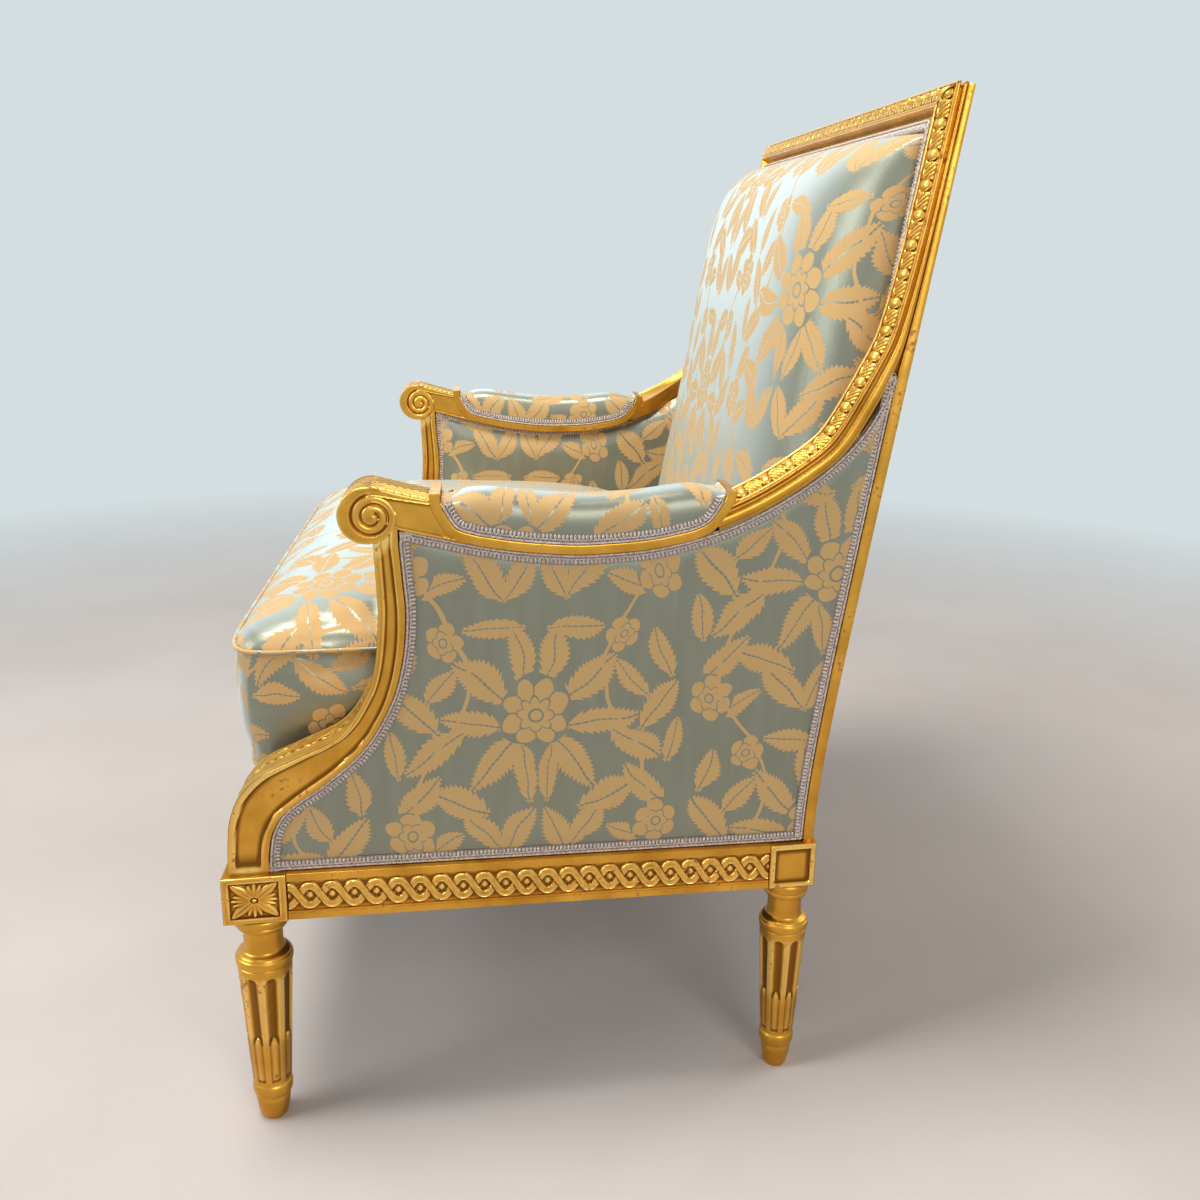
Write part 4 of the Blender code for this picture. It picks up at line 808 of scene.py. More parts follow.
def back_pad():
    """The crowned back pad: rise^2 = (1 - |u|^5)(1 - |v|^7), inside a flat border for the braid.

    Its cloth is laid out by the length along each row and column, so nothing stretches over the edges.
    """
    top = CREST_Z - FRAME_FACE - GAP
    swell, edge_u, edge_v = crowded(96), 0.966, 0.963
    u = np.concatenate([[-1.0], swell * edge_u, [1.0]])
    v = np.concatenate([[-1.0], swell * edge_v, [1.0]])
    uu, vv = np.meshgrid(u, v)
    z = (top + BACK_PAD_FOOT_Z) / 2 + vv * (top - BACK_PAD_FOOT_Z) / 2
    base = stile_depth(z) - FRONT_REBATE + GAP
    t, w = capped(np.abs(uu) / edge_u), capped(np.abs(vv) / edge_v)
    full = np.sqrt((1.0 - t ** 5.0) * (1.0 - w ** 7.0))
    tuck = 0.0022 * bell((1.0 - t) / 0.02) + 0.0022 * bell((1.0 - w) / 0.02)
    y, height = back_point(z, base + FRONT_REBATE + (BACK_PAD_RISE - 0.001) * full - tuck)
    half = frame_half(z, base)
    shown = centred(uu * half, y, height)
    low_y, low_z = back_point(z, base)
    hidden = points_of(uu * half, low_y - MIDDLE, low_z)
    arc = grid_lengths(shown, 1)
    arc = arc - arc[:, -1:] / 2
    climb = grid_lengths(shown, 0)
    middle = len(v) // 2
    climb = climb - climb[middle:middle + 1] + height[middle:middle + 1] - CLOTH_ZERO_Z
    uv = points_of(arc, climb)
    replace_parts(cover_piece("back_cushioning", shown, hidden, uv, as_drawn), "back_pad")


back_pad()


def outside_back():
    """The outside back: silk stretched flat in the rebate."""
    top = CREST_Z - FRAME_FACE - GAP
    u, v = np.linspace(-1.0, 1.0, 60), np.linspace(0.0, 1.0, 60)
    uu, vv = np.meshgrid(u, v)
    z = mix(FOOT_Z + GAP, top, vv)
    full = (1.0 - uu ** 8) * (1.0 - (2 * vv - 1) ** 8)
    y, height = back_point(z, REAR_REBATE - 0.0043 - 0.0016 * full)
    shown = centred(uu * frame_half(z, 0.005), y, height)
    y, height = back_point(z, REAR_REBATE - GAP)
    hidden = centred(uu * frame_half(z, 0.005), y, height)
    uv = points_of(uu * frame_half(z, 0.005), z - CLOTH_ZERO_Z)
    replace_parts(cover_piece("outside_back_cover", shown, hidden, uv, as_drawn), "outside_back")


outside_back()


def seat_platform():
    """The covered platform under the cushion: a low slab with rounded upper edges."""
    back_y = float(back_point(RAIL_TOP, STILE_FOOT_DEPTH + 0.012)[0])
    u = crowded(70)
    uu, vv = np.meshgrid(u, u)
    y = mix(-0.0255, back_y, (vv + 1) / 2)
    x = uu * side_x(y, -CUSHION_SIDE)
    low = rail_top(y) + 0.0033
    full = (capped(1.0 - np.abs(uu) ** 24) * capped(1.0 - np.abs(vv) ** 24)) ** 0.35
    shown = centred(x, y, low + (PLATFORM_TOP - low) * full)
    hidden = centred(x, y, low)
    drop = (PLATFORM_TOP - low) * (1.0 - full)
    sideways = np.abs(uu) > np.abs(vv)
    uv = points_of(x + np.sign(uu) * drop * sideways, y + np.sign(vv) * drop * ~sideways)
    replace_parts(cover_piece("platform_cover", shown, hidden, uv, as_drawn), "seat_platform")


seat_platform()


def cushion_back():
    """Depth of the cushion's back, just clear of the back pad's fullest part."""
    pad_y = back_point(CUSHION_SEAM_Z, stile_depth(CUSHION_SEAM_Z) + BACK_PAD_RISE)[0]
    return float(pad_y) - CUSHION_BACK_GAP


CUSHION_BACK_Y = cushion_back()


def cushion_half(y):
    """Half the cushion's width, even from its front to its back."""
    front = side_x(-CUSHION_FRONT, -CUSHION_SIDE)
    back = side_x(CUSHION_BACK_Y, -CUSHION_BACK_SIDE)
    return mix(front, back, (y + CUSHION_FRONT) / (CUSHION_BACK_Y + CUSHION_FRONT))


def cushion_rim(count, power=15.0):
    """The cushion's plan, a superellipse |u|^15 + |w|^15 = 1 with evenly spread points."""
    angle = circle(2400)
    c, s = np.cos(angle), np.sin(angle)
    reach = (np.abs(c) ** power + np.abs(s) ** power) ** (-1.0 / power)
    line = points_of(reach * c, reach * s)
    line = np.vstack([line, line[:1]])
    return at_length(line, np.linspace(0.0, lengths_of(line)[-1], count + 1)[:-1])


def cushion_place(u, w):
    """Plan position of shares of the cushion's half width and half depth."""
    y = mix(-CUSHION_FRONT, CUSHION_BACK_Y, (w + 1) / 2)
    return u * cushion_half(y), y


# The stuffed cushion's seam is lower than the solid's, its front fuller and its crown higher
PIPED_SEAM_Z = CUSHION_SEAM_Z - 0.011
FEATHER_CROWN = CUSHION_CROWN + 0.020
FRONT_FILL = 0.0085


def cushion_shape():
    """The stuffed cushion as rings from the middle of its foot up its boxing to its crown."""
    rim = cushion_rim(240)
    bottom, seam = PLATFORM_TOP + 0.0006, PIPED_SEAM_Z
    foot = [(s, bottom, 0.0) for s in np.linspace(0.06, 0.955, 12)]
    wall = [(0.972, bottom + 0.0015, 0.0), (0.985, bottom + 0.006, 0.15), (0.990, bottom + 0.014, 0.35)]
    wall += [(0.990 + 0.004 * math.sin(math.pi * t), mix(bottom + 0.016, seam - 0.006, t),
              0.35 + 0.65 * math.sin(math.pi * t) ** 0.8) for t in np.linspace(0.05, 0.95, 12)]
    wall += [(0.988, seam - 0.004, 0.25), (0.986, seam - 0.001, 0.2)]
    crown = [(s, seam, 0.0) for s in np.concatenate([[0.978, 0.965, 0.95], np.linspace(0.93, 0.06, 22)])]
    rings = []
    for size, z, puff in foot + wall + crown:
        u, w = rim[:, 0], rim[:, 1]
        x, y = cushion_place(u * size, w * size)
        x = x + np.sign(u) * puff * 0.0028 * (np.abs(u) > 0.9) * (1 - np.abs(w) ** 4)
        y = y + np.sign(w) * puff * (np.abs(w) > 0.9) * (1 - np.abs(u) ** 4) * np.where(w < 0, 0.0065, 0.0016)
        y = y - FRONT_FILL * ease((z - bottom) / 0.05) * ease(-w * size)
        lift = 0.0
        if z >= seam:
            across, deep = np.abs(u * size) ** 2.6, np.abs(w * size) ** 2.8
            lift = FEATHER_CROWN * np.sqrt(capped((1 - across) * (1 - deep)))
        rings.append(centred(x, y, z + lift))
    return np.stack(rings)


def evaluated(piece):
    """The piece with its modifiers worked out."""
    return piece.evaluated_get(bpy.context.evaluated_depsgraph_get())


def vertices_of(mesh):
    """A mesh's points as an array (n, 3)."""
    points = np.empty(len(mesh.vertices) * 3)
    mesh.vertices.foreach_get("co", points)
    return points.reshape(-1, 3)


def pad_by_simulation(piece, pressure, cap, voxel, held):
    """Blow the stuffed shape up against its cover: a voxel remesh, then cloth under pressure, with
    each point's movement capped. The cover's own tension evens out its curves, and held gives
    the share of the movement that a point's seam or seat takes away."""
    drawn = piece.data
    remesh = piece.modifiers.new("even", "REMESH")
    remesh.mode = "VOXEL"
    remesh.voxel_size = voxel
    even = bpy.data.meshes.new_from_object(evaluated(piece))
    piece.modifiers.clear()
    piece.data = even
    start = vertices_of(even)
    settings = piece.modifiers.new("cover", "CLOTH").settings
    settings.use_pressure = True
    settings.uniform_pressure_force = pressure
    settings.effector_weights.gravity = 0.0
    settings.tension_stiffness = settings.compression_stiffness = 30.0
    settings.bending_stiffness = 2.0
    scene = bpy.context.scene
    for step in range(1, 21):
        scene.frame_set(step)
    move = vertices_of(evaluated(piece).data) - start
    piece.modifiers.clear()
    scene.frame_set(1)
    size = np.linalg.norm(move, axis=1, keepdims=True)
    move *= np.minimum(1.0, cap / np.maximum(size, 1e-9)) * (1.0 - held(start))[:, None]
    even.vertices.foreach_set("co", (start + move).ravel())
    even.update()
    bpy.data.meshes.remove(drawn)
    piece.modifiers.new("finer", "SUBSURF").levels = 1
    piece.data = bpy.data.meshes.new_from_object(evaluated(piece))
    piece.modifiers.clear()
    bpy.data.meshes.remove(even)


def cushion_map(points):
    """The top reads its plan; the boxing reads its distance below the seam, round the sides."""
    x, y, z = points.T
    fall = np.clip(PIPED_SEAM_Z - z, 0.0, None)
    front, side = -CUSHION_FRONT - FRONT_FILL - MIDDLE, cushion_half(y + MIDDLE)
    on_side_wall = (side - np.abs(x) < y - front) & (fall > 0.002)
    u = np.where(on_side_wall, x + np.sign(x) * fall, x)
    v = np.where(on_side_wall, y, y - np.where(fall > 0.002, fall, 0.0))
    return points_of(u, v)


def cushion_held(points):
    """Held at the piped seams and where the cushion rests on its platform."""
    seam = bell((points[:, 2] - PIPED_SEAM_Z) / 0.0045)
    foot = bell((points[:, 2] - PLATFORM_TOP) / 0.0110)
    return capped(np.maximum(seam, foot))


def seat_cushion():
    """The loose cushion: its drawn shape, blown up, and mapped again."""
    piece = skin("feather_cushion", cushion_shape(), SILK, "lampas", body="cushion", crease=75.0)
    pad_by_simulation(piece, pressure=4.0, cap=0.007, voxel=0.006, held=cushion_held)
    set_cloth_map(piece.data, cushion_map(vertices_of(piece.data)))
    piece.data.shade_smooth()
    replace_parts(piece, "seat_cushion")


seat_cushion()


# Carved and turned gilt wood

def gilded(name, rings, finish=GOLD, **more):
    """A closed body of gilt wood."""
    return skin(name, rings, finish, "gilded_wood", **more)


def step_up(value, width=0.5):
    """A soft step about nothing, in millimetres."""
    return ease(value / width + 0.5)


def hollows(height, rows=6, columns=6, scale=0.9):
    """How sunk each point of a height field is against its surroundings, from -1 to 1."""
    return np.clip((blurred(height, rows, columns) - height) / scale, -1.0, 1.0)


def guilloche(s, t):
    """Height in millimetres of two interlaced strands, each a cosine of half-pitch swing; the strand
    that falls away from the front passes over the other. A lobed boss fills each roundel."""
    pitch, swing, half = GUILLOCHE_PITCH, 10.4, 3.7
    share = np.mod(s, pitch) / pitch
    path = swing * np.cos(math.pi * share)
    steep = np.hypot(1.0, swing * math.pi / pitch * np.sin(math.pi * share))
    over = np.abs(t - path) / steep
    under = np.abs(t + path) / steep

    def strand(reach):
        lip = 0.55 * bell((reach - half + 0.75) / 0.42)
        return step_up(half - reach, 0.9) * 1.9 + lip * (reach < half + 0.6)

    hidden = step_up(over - half - 0.55, 1.0)
    r = np.hypot((share - np.round(share)) * pitch, t)
    turn = np.arctan2(t, (share - np.round(share)) * pitch)
    boss = 2.3 * dome(r / 3.3) * (0.80 + 0.20 * np.cos(4 * turn) * (r > 1.0))
    petals = 0.9 * capped(1.0 - np.abs(r - 4.4) / 1.2) * (np.cos(4 * turn + math.pi) > 0.1)
    return np.maximum.reduce([strand(over), strand(under) * hidden, boss, petals])


def ribbon(s, w):
    """Height in millimetres of a twisted ribbon round a rod: in each 27 mm unit one oval bud, three
    slanting folds and a small leaf, between two plain fillets. w runs from 0 to 20."""
    unit = 27.0
    q = np.mod(s, unit)
    v = w - 10.0
    rod = 2.2 * dome(v / 7.2)
    bud = 3.4 * dome((q - 6.0) / 5.6, v / 6.4)
    groove = np.abs(np.hypot((q - 6.0) / 6.9, v / 7.8) - 1.0)
    slant = np.mod(q + 0.85 * v, 4.4) / 4.4
    folds = (q > 11.0) * (q < 26.0) * (1.5 + 1.6 * np.abs(np.sin(math.pi * slant)))
    folds = folds * dome(v / 7.8)
    leaf_v = v - 4.5
    leaf_q = q - 16.0
    leaf_h = 3.0 * dome(leaf_q / 4.6, (leaf_v - 0.25 * leaf_q) / 2.1)
    body = np.maximum.reduce([rod * (groove > 0.13), bud, folds, leaf_h])
    fillet = 1.5 * step_up(np.abs(v) - 8.9, 0.6)
    return np.maximum(body, fillet)


def rosette(p, q):
    """Height in millimetres of a square rosette: four creased leaves to the corners, four fans of
    three petals between them and a ringed bead. p and q run from -1 to 1."""
    r, turn = np.hypot(p, q), np.arctan2(q, p)
    quarter = math.pi / 2
    corner = np.mod(turn, quarter) - quarter / 2
    reach, across = r * np.cos(corner), r * np.sin(corner)
    width = 0.245 * np.sin(math.pi * capped(reach / 1.40)) ** 0.75 + 1e-6
    leaves = 2.5 * dome(across / width) - 0.9 * bell(across / 0.035)
    axis = np.mod(turn + quarter / 2, quarter) - quarter / 2
    fans = np.zeros_like(r)
    for tilt, size in ((0.0, 0.98), (0.30, 0.92), (-0.30, 0.92)):
        a, c = r * np.cos(axis - tilt), r * np.sin(axis - tilt)
        slim = 0.105 * np.sin(math.pi * capped((a - 0.12) / (size - 0.12))) ** 0.5 + 1e-6
        fans = np.maximum(fans, 1.9 * dome(c / slim))
    bead = 2.9 * dome(r / 0.125)
    ring = 2.1 * bell((r - 0.19) / 0.045)
    return np.maximum.reduce([leaves * (r > 0.16), fans * (r > 0.2), bead, ring])


# The legs' turnings, as (share of the girth, height from the floor, shaft's end, collar or top)
LEG_FOOT = [(0.43, 0.0), (0.50, 0.003), (0.57, 0.012), (0.62, 0.022), (0.605, 0.0255), (0.60, 0.028),
            (0.66, 0.029), (0.71, 0.0315), (0.725, 0.036), (0.71, 0.0405), (0.66, 0.043), (0.645, 0.0452),
            (0.655, 0.0466)]
LEG_NECK = [(0.965, 0.0006), (0.945, 0.0014), (0.995, 0.0028)]
LEG_COLLAR = [(1.015, -0.001), (1.0, 0.0022), (0.955, 0.0036), (0.93, 0.0052), (0.86, 0.0068),
              (0.765, 0.0083), (0.710, 0.0108), (0.69, 0.018)]
LEG_CAP = [(0.70, -0.0190), (0.735, -0.0175), (0.86, -0.0165), (0.905, -0.0135), (0.875, -0.0108)]
# The plate's, as (share of the block's width, more, height from the top)
LEG_PLATE = [(0.40, 0.004, -0.0098), (0.485, 0.0, -0.0075), (0.497, 0.0, -0.0045),
             (0.485, 0.0, -0.0018), (0.44, 0.0, 0.0005)]


def turned_leg(name, turn, top, g, block, centre):
    """A turned profile with eight round-arched flutes, each filled with a pointed reed at its foot."""
    collar, ankle = top - 0.051, 0.047
    shaft = collar - 0.008
    low = [(share * g, z) for share, z in LEG_FOOT]
    high = [(share * g, shaft + z) for share, z in LEG_NECK]
    high += [(share * g, collar + z) for share, z in LEG_COLLAR]
    high += [(share * g, top + z) for share, z in LEG_CAP]
    high += [(share * block + more, top + z) for share, more, z in LEG_PLATE]
    tip = mix(ankle, shaft, 0.42)
    body_z = np.unique(np.concatenate([np.linspace(ankle, shaft, 44),
                                       np.linspace(shaft - 0.016, shaft - 0.005, 26),
                                       np.linspace(tip - 0.011, tip + 0.001, 16)]))
    body_r = mix(0.70 * g, 0.965 * g, (body_z - ankle) / (shaft - ankle))
    line = np.vstack([smooth_line(low, 4), points_of(body_r, body_z), smooth_line(high, 4)])
    angle = circle(104)
    radius, z = line[:, :1], line[:, 1:]
    pitch = 2 * math.pi / 8
    phi = np.abs(np.mod(angle, pitch) - pitch / 2) * radius / MM
    half = math.radians(14.0) * radius / MM
    end, start = (shaft - 0.007) / MM, (ankle + 0.002) / MM
    zz = z / MM
    arch = dome(np.clip(zz - (end - half), 0, None) / half)
    inside = (zz > start) & (zz < end)
    span = np.where(inside, half * arch, 1e-6) + 1e-6
    scoop = -2.4 * capped(1.0 - (phi / span) ** 4) ** 0.7 * inside
    edge = 0.25 * bell((phi - span) / 0.45) * inside
    tip = tip / MM
    reed_half = (span - 0.5) * np.sqrt(capped((tip - zz) / 9.0)) + 1e-6
    reed = 2.6 * dome(phi / reed_half) * (zz < tip) * inside
    height = scoop + edge + reed * capped((zz - start) / 2.0)
    r = radius + height * MM
    rings = points_of(centre[0] + r * np.cos(angle), centre[1] - MIDDLE + r * np.sin(angle), z)
    return gilded(name, turn(rings), relief=hollows(height, 3, 5, 1.1))


def front_leg(name, turn):
    """The turned leg under the front block's middle."""
    centre = (side_x(0.0, -FRONT_BLOCK / 2), 0.0)
    return turned_leg(name, turn, RAIL_TOP - RAIL_HEIGHT, 0.0282, FRONT_BLOCK, centre)


def rear_leg(name, turn):
    """The turned leg under the rear block's middle."""
    centre = (side_x(LEG_SPAN, -REAR_BLOCK / 2), LEG_SPAN)
    return turned_leg(name, turn, FOOT_Z - RAIL_HEIGHT, 0.0262, REAR_BLOCK, centre)


pair("turned_front_leg", front_leg, "front_leg")
pair("turned_rear_leg", rear_leg, "rear_leg")


def block_face(a, b, carved):
    """Depth in millimetres over a block's face: a frame, a sunk square and its rosette."""
    edge = 0.76
    far = np.maximum(np.abs(a), np.abs(b))
    sunk = -2.3 * step_up((edge - far) * 30.0, 0.9)
    lip = 0.35 * bell((far - edge - 0.03) / 0.02)
    round_off = -1.2 * capped((far - 0.965) / 0.035) ** 2
    height = sunk + lip + round_off
    if carved:
        height = height + rosette(a / edge, b / edge) * (far < edge - 0.03)
    return height


def corner_block(name, turn, y, size, top, carved):
    """A leg block: its two outer faces are height fields, its hidden ones plain."""
    half, bottom = size / 2, top - RAIL_HEIGHT
    fine = np.linspace(-1.0, 1.0, 96 if carved else 44)
    coarse = np.linspace(-1.0, 1.0, 4)[1:-1]
    z = np.linspace(bottom, top, 80 if carved else 40)
    b = (2 * (z - bottom) / (top - bottom) - 1)[:, None]
    height_a = block_face(fine, b, carved)
    rings = [on_side(height_a * MM, y + half * fine * (1 - 0.001), z[:, None])]
    relief = [hollows(height_a, 5, 5, 1.0)]
    rings.append(on_side(-half * (1 + coarse), y + half, z[:, None]))
    relief.append(np.zeros((len(z), len(coarse))))
    rings.append(on_side(-size, y - half * np.linspace(-1, 1, 4), z[:, None]))
    relief.append(np.zeros((len(z), 4)))
    height_f = block_face(fine[::-1], b, carved) if carved else 0 * b + 0 * fine
    front = on_side(-half * (1 - fine) * 0.998 - 0.0001, y - half - height_f * MM, z[:, None])
    rings.append(front[:, 1:-1])
    relief.append(hollows(height_f, 5, 5, 1.0)[:, 1:-1])
    return gilded(name, turn(np.hstack(rings)), relief=np.hstack(relief), crease=35.0)


pair("front_block", lambda *piece: corner_block(*piece, 0.0, FRONT_BLOCK, RAIL_TOP, True))
pair("rear_block", lambda *piece: corner_block(*piece, LEG_SPAN, REAR_BLOCK, FOOT_Z, False))


def rail_profile(columns=46):
    """Down the rail's face in millimetres from its top: (distance down, depth, whether carved)."""
    band, foot, tall = RAIL_BAND / MM, RAIL_BEAD / MM, RAIL_HEIGHT / MM
    down = [0.0, 0.3, band - 1.2, band - 0.7, band - 0.3, band]
    out = [-0.5, 0.0, 0.0, -0.2, -1.5, -1.7]
    field = np.linspace(band + 0.2, tall - foot - 0.2, columns)
    down_low = [tall - foot, tall - foot + 0.3, tall - foot + 1.5, tall - foot + 1.9, tall - 7.6, tall - 7.2,
                tall - 0.6, tall]
    out_low = [-1.0, 0.1, 0.1, -0.5, -0.5, 0.1, 0.1, -0.7]
    down = np.concatenate([down, field, down_low])
    out = np.concatenate([out, np.full(columns, -1.7), out_low])
    carved = np.zeros(len(down))
    carved[6:6 + columns] = 1.0
    return down, out, carved


RAIL_STEP, RAIL_ROWS = 0.00088, 840


def guilloche_rail(name, turn, run, place, top_at):
    """A moulded rail with the guilloche in its sunk field. run is its length, place(out, s, z) sets a
    point and top_at(s) gives the height of its top."""
    rows = int(min(run / RAIL_STEP, RAIL_ROWS))
    s = np.linspace(0.0, run, rows)[:, None]
    down, out, carved = rail_profile()
    middle = (RAIL_BAND + RAIL_HEIGHT - RAIL_BEAD) / 2 / MM
    roundels = max(round(run / MM / GUILLOCHE_PITCH), 1)
    height = guilloche(s / run * roundels * GUILLOCHE_PITCH, (middle - down)) * carved
    ends = capped(np.minimum(s, run - s) / 0.0008)
    depth = -RAIL_SET + (out + height * ends) * MM
    face = place(depth, s, top_at(s) - down * MM)
    back = place(-RAIL_THICK, s, top_at(s) - np.array([RAIL_HEIGHT, 0.0]))
    relief = np.hstack([hollows(height, 7, 5, 0.9) * carved, np.zeros((rows, 2))])
    return gilded(name, turn(np.hstack([face, back])), relief=relief)


def side_rail(name, turn):
    """The guilloche rail between a side's two blocks."""
    start, end = FRONT_BLOCK / 2 + GAP, LEG_SPAN - REAR_BLOCK / 2 - GAP
    return guilloche_rail(name, turn, end - start, lambda out, s, z: on_side(out, start + s, z),
                          lambda s: rail_top(start + s))


def front_rail():
    """The guilloche rail between the two front blocks."""
    half = float(side_x(-FRONT_BLOCK / 2, -FRONT_BLOCK - 0.0006))

    def place(out, s, z):
        return centred(half - s, -FRONT_BLOCK / 2 - out, z)

    piece = guilloche_rail("carved_front_rail", as_drawn, 2 * half, place, lambda s: RAIL_TOP)
    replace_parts(piece, "front_rail")


pair("carved_side_rail", side_rail, "side_rail")
front_rail()


def risen(line):
    """A console edge carried on upwards into the scroll."""
    return np.vstack([line, line[-1] + (0.0, 0.016)])


def console(name, turn):
    """The swept arm support: its sides framed and sunk, its front carved with a slanting ribbon."""
    rows = 144
    front = resample(risen(support_edge(SUPPORT_EDGE_FRONT)), rows)
    back = resample(risen(support_edge(SUPPORT_EDGE_BACK)), rows)
    width = np.linalg.norm(back - front, axis=1)[:, None] / MM
    run = lengths_of(front)[:, None] / MM
    share = np.linspace(0.0, 1.0, 34)
    near = share * width
    rim = np.minimum(np.minimum(near, width - near), np.minimum(run - 1.0, (run[-1] - run) + 8.0))
    side = -2.1 * step_up(rim - 7.2, 1.4) + 0.45 * bell((rim - 6.6) / 0.5)
    side = side - 1.0 * capped(1.0 - near / 1.0) ** 2
    plan = mix(front[:, None], back[:, None], share[..., None])
    from_eye = np.hypot(plan[..., 0] - SCROLL_Y, plan[..., 1] - SCROLL_Z) / MM
    side = side - 4.5 * step_up(24.5 - from_eye, 1.5)
    outer = on_side(-FRAME_SET + side * MM, plan[..., 0], plan[..., 1])
    inner_face = -FRAME_SET - SUPPORT_WIDTH
    inner = on_side(inner_face - side[:, ::-1] * MM, plan[:, ::-1, 0], plan[:, ::-1, 1])
    across = np.linspace(0.0, SUPPORT_WIDTH / MM, 66)
    rim_f = np.minimum(across, SUPPORT_WIDTH / MM - across)
    v = across - SUPPORT_WIDTH / MM / 2
    ribs = 1.3 * np.abs(np.sin(math.pi * (run + 0.9 * np.abs(v)) / 3.6)) * step_up(rim_f - 6.5, 1.0)
    beads = 2.4 * dome((np.mod(run, 9.0) - 4.5) / 4.0, v / 3.6)
    start = step_up(run - 11.0, 2.0)
    carved = (np.maximum(ribs, beads) - 1.3) * start * step_up(rim_f - 5.5, 1.0)
    carved = carved + 0.35 * bell((rim_f - 5.0) / 0.5) * start - capped(1 - rim_f / 1.0) ** 2
    normal = plane_normals(front)
    face = front[:, None] + normal[:, None] * carved[..., None] * MM
    face = on_side(inner_face + across * MM, face[..., 0], face[..., 1])
    rings = np.hstack([outer, inner, face[:, 1:-1]])
    relief = np.hstack([hollows(side, 6, 4), hollows(side[:, ::-1], 6, 4), hollows(carved, 5, 4)[:, 1:-1]])
    return gilded(name, turn(rings), relief=relief)


pair("carved_console", console, "arm_support")


# Arms, sweeps and back frame

ARM = arm_line()
ARM_TOP_Z = float(np.interp(CLIP_FRONT_Y, ARM[:, 0], ARM[:, 1])) + 0.034


def arm_low(y):
    """Height of the arm's lower edge; before the console's head it runs on level."""
    return np.interp(y, ARM[:, 0], ARM[:, 1])


def volute(r, turn):
    """Height in millimetres of the scroll's face: a sunk groove winds round an eye that stands behind
    the disc's middle, its distance falling evenly with the turn, so a flat band and a convex
    one are left between its laps."""
    eye_y, eye_z = 4.6, -1.5
    y, z = r * np.cos(turn) - eye_y, r * np.sin(turn) - eye_z
    reach, way = np.hypot(y, z), np.arctan2(z, y)
    swept = np.mod(way - math.pi / 2, 2 * math.pi) / (2 * math.pi)
    height = 0.7 + 1.5 * capped(1.0 - reach / 17.0)
    for lap in (-1, 0, 1, 2):
        t = swept + lap
        groove = 20.8 - 9.3 * t + 0.45 * t ** 2
        there = step_up(t + 0.22, 0.05) * step_up(1.90 - t, 0.06)
        height = height - 2.1 * there * np.exp(-(np.abs(reach - groove) / 1.7) ** 1.6)
        height = height + 0.5 * there * bell((reach - groove - 2.3) / 0.5) * (t < 1.0)
    return height


def scroll(name, turn):
    """The arm's scroll: both faces carved with the volute, the rim with leafy ribs."""
    around = 170
    angle = circle(around)
    r = np.linspace(0.4, SCROLL_RADIUS / MM, 56)
    rr, aa = np.meshgrid(r, angle, indexing="ij")
    face = volute(rr, aa)
    runs_on = step_up(np.degrees(aa) + 12.0, 10.0) * step_up(84.0 - np.degrees(aa), 10.0)
    face = face - 1.3 * (1.0 - runs_on) * capped((rr - 25.6) / 0.9) ** 2
    rim = np.linspace(0.0, 1.0, 44)[1:-1]
    near, far = -FRAME_SET, -FRAME_SET - ARM_WIDTH
    v = np.abs(rim - 0.5)[:, None] * ARM_WIDTH / MM
    run = aa[:1] * SCROLL_RADIUS / MM
    leafy = 1.2 * np.abs(np.sin(math.pi * (run - 0.8 * v) / 4.2)) * step_up(25.0 - v, 1.5)
    vein = 1.5 * bell(v / 1.6)
    ribs = np.maximum(leafy, vein) - 1.2
    reach = np.concatenate([rr, np.full((len(rim), around), r[-1]) + ribs, rr[::-1]])
    edge = mix(near, far, rim)[:, None] + 0 * aa[:1]
    out = np.concatenate([near + face * MM, edge, far - face[::-1] * MM])
    angles = np.broadcast_to(angle, reach.shape)
    rings = on_side(out, SCROLL_Y + reach * MM * np.cos(angles), SCROLL_Z + reach * MM * np.sin(angles))
    relief = np.concatenate([hollows(face, 4, 4), hollows(ribs, 3, 3), hollows(face[::-1], 4, 4)])
    return gilded(name, turn(rings), relief=relief)


pair("carved_scroll", scroll, "arm_rail")


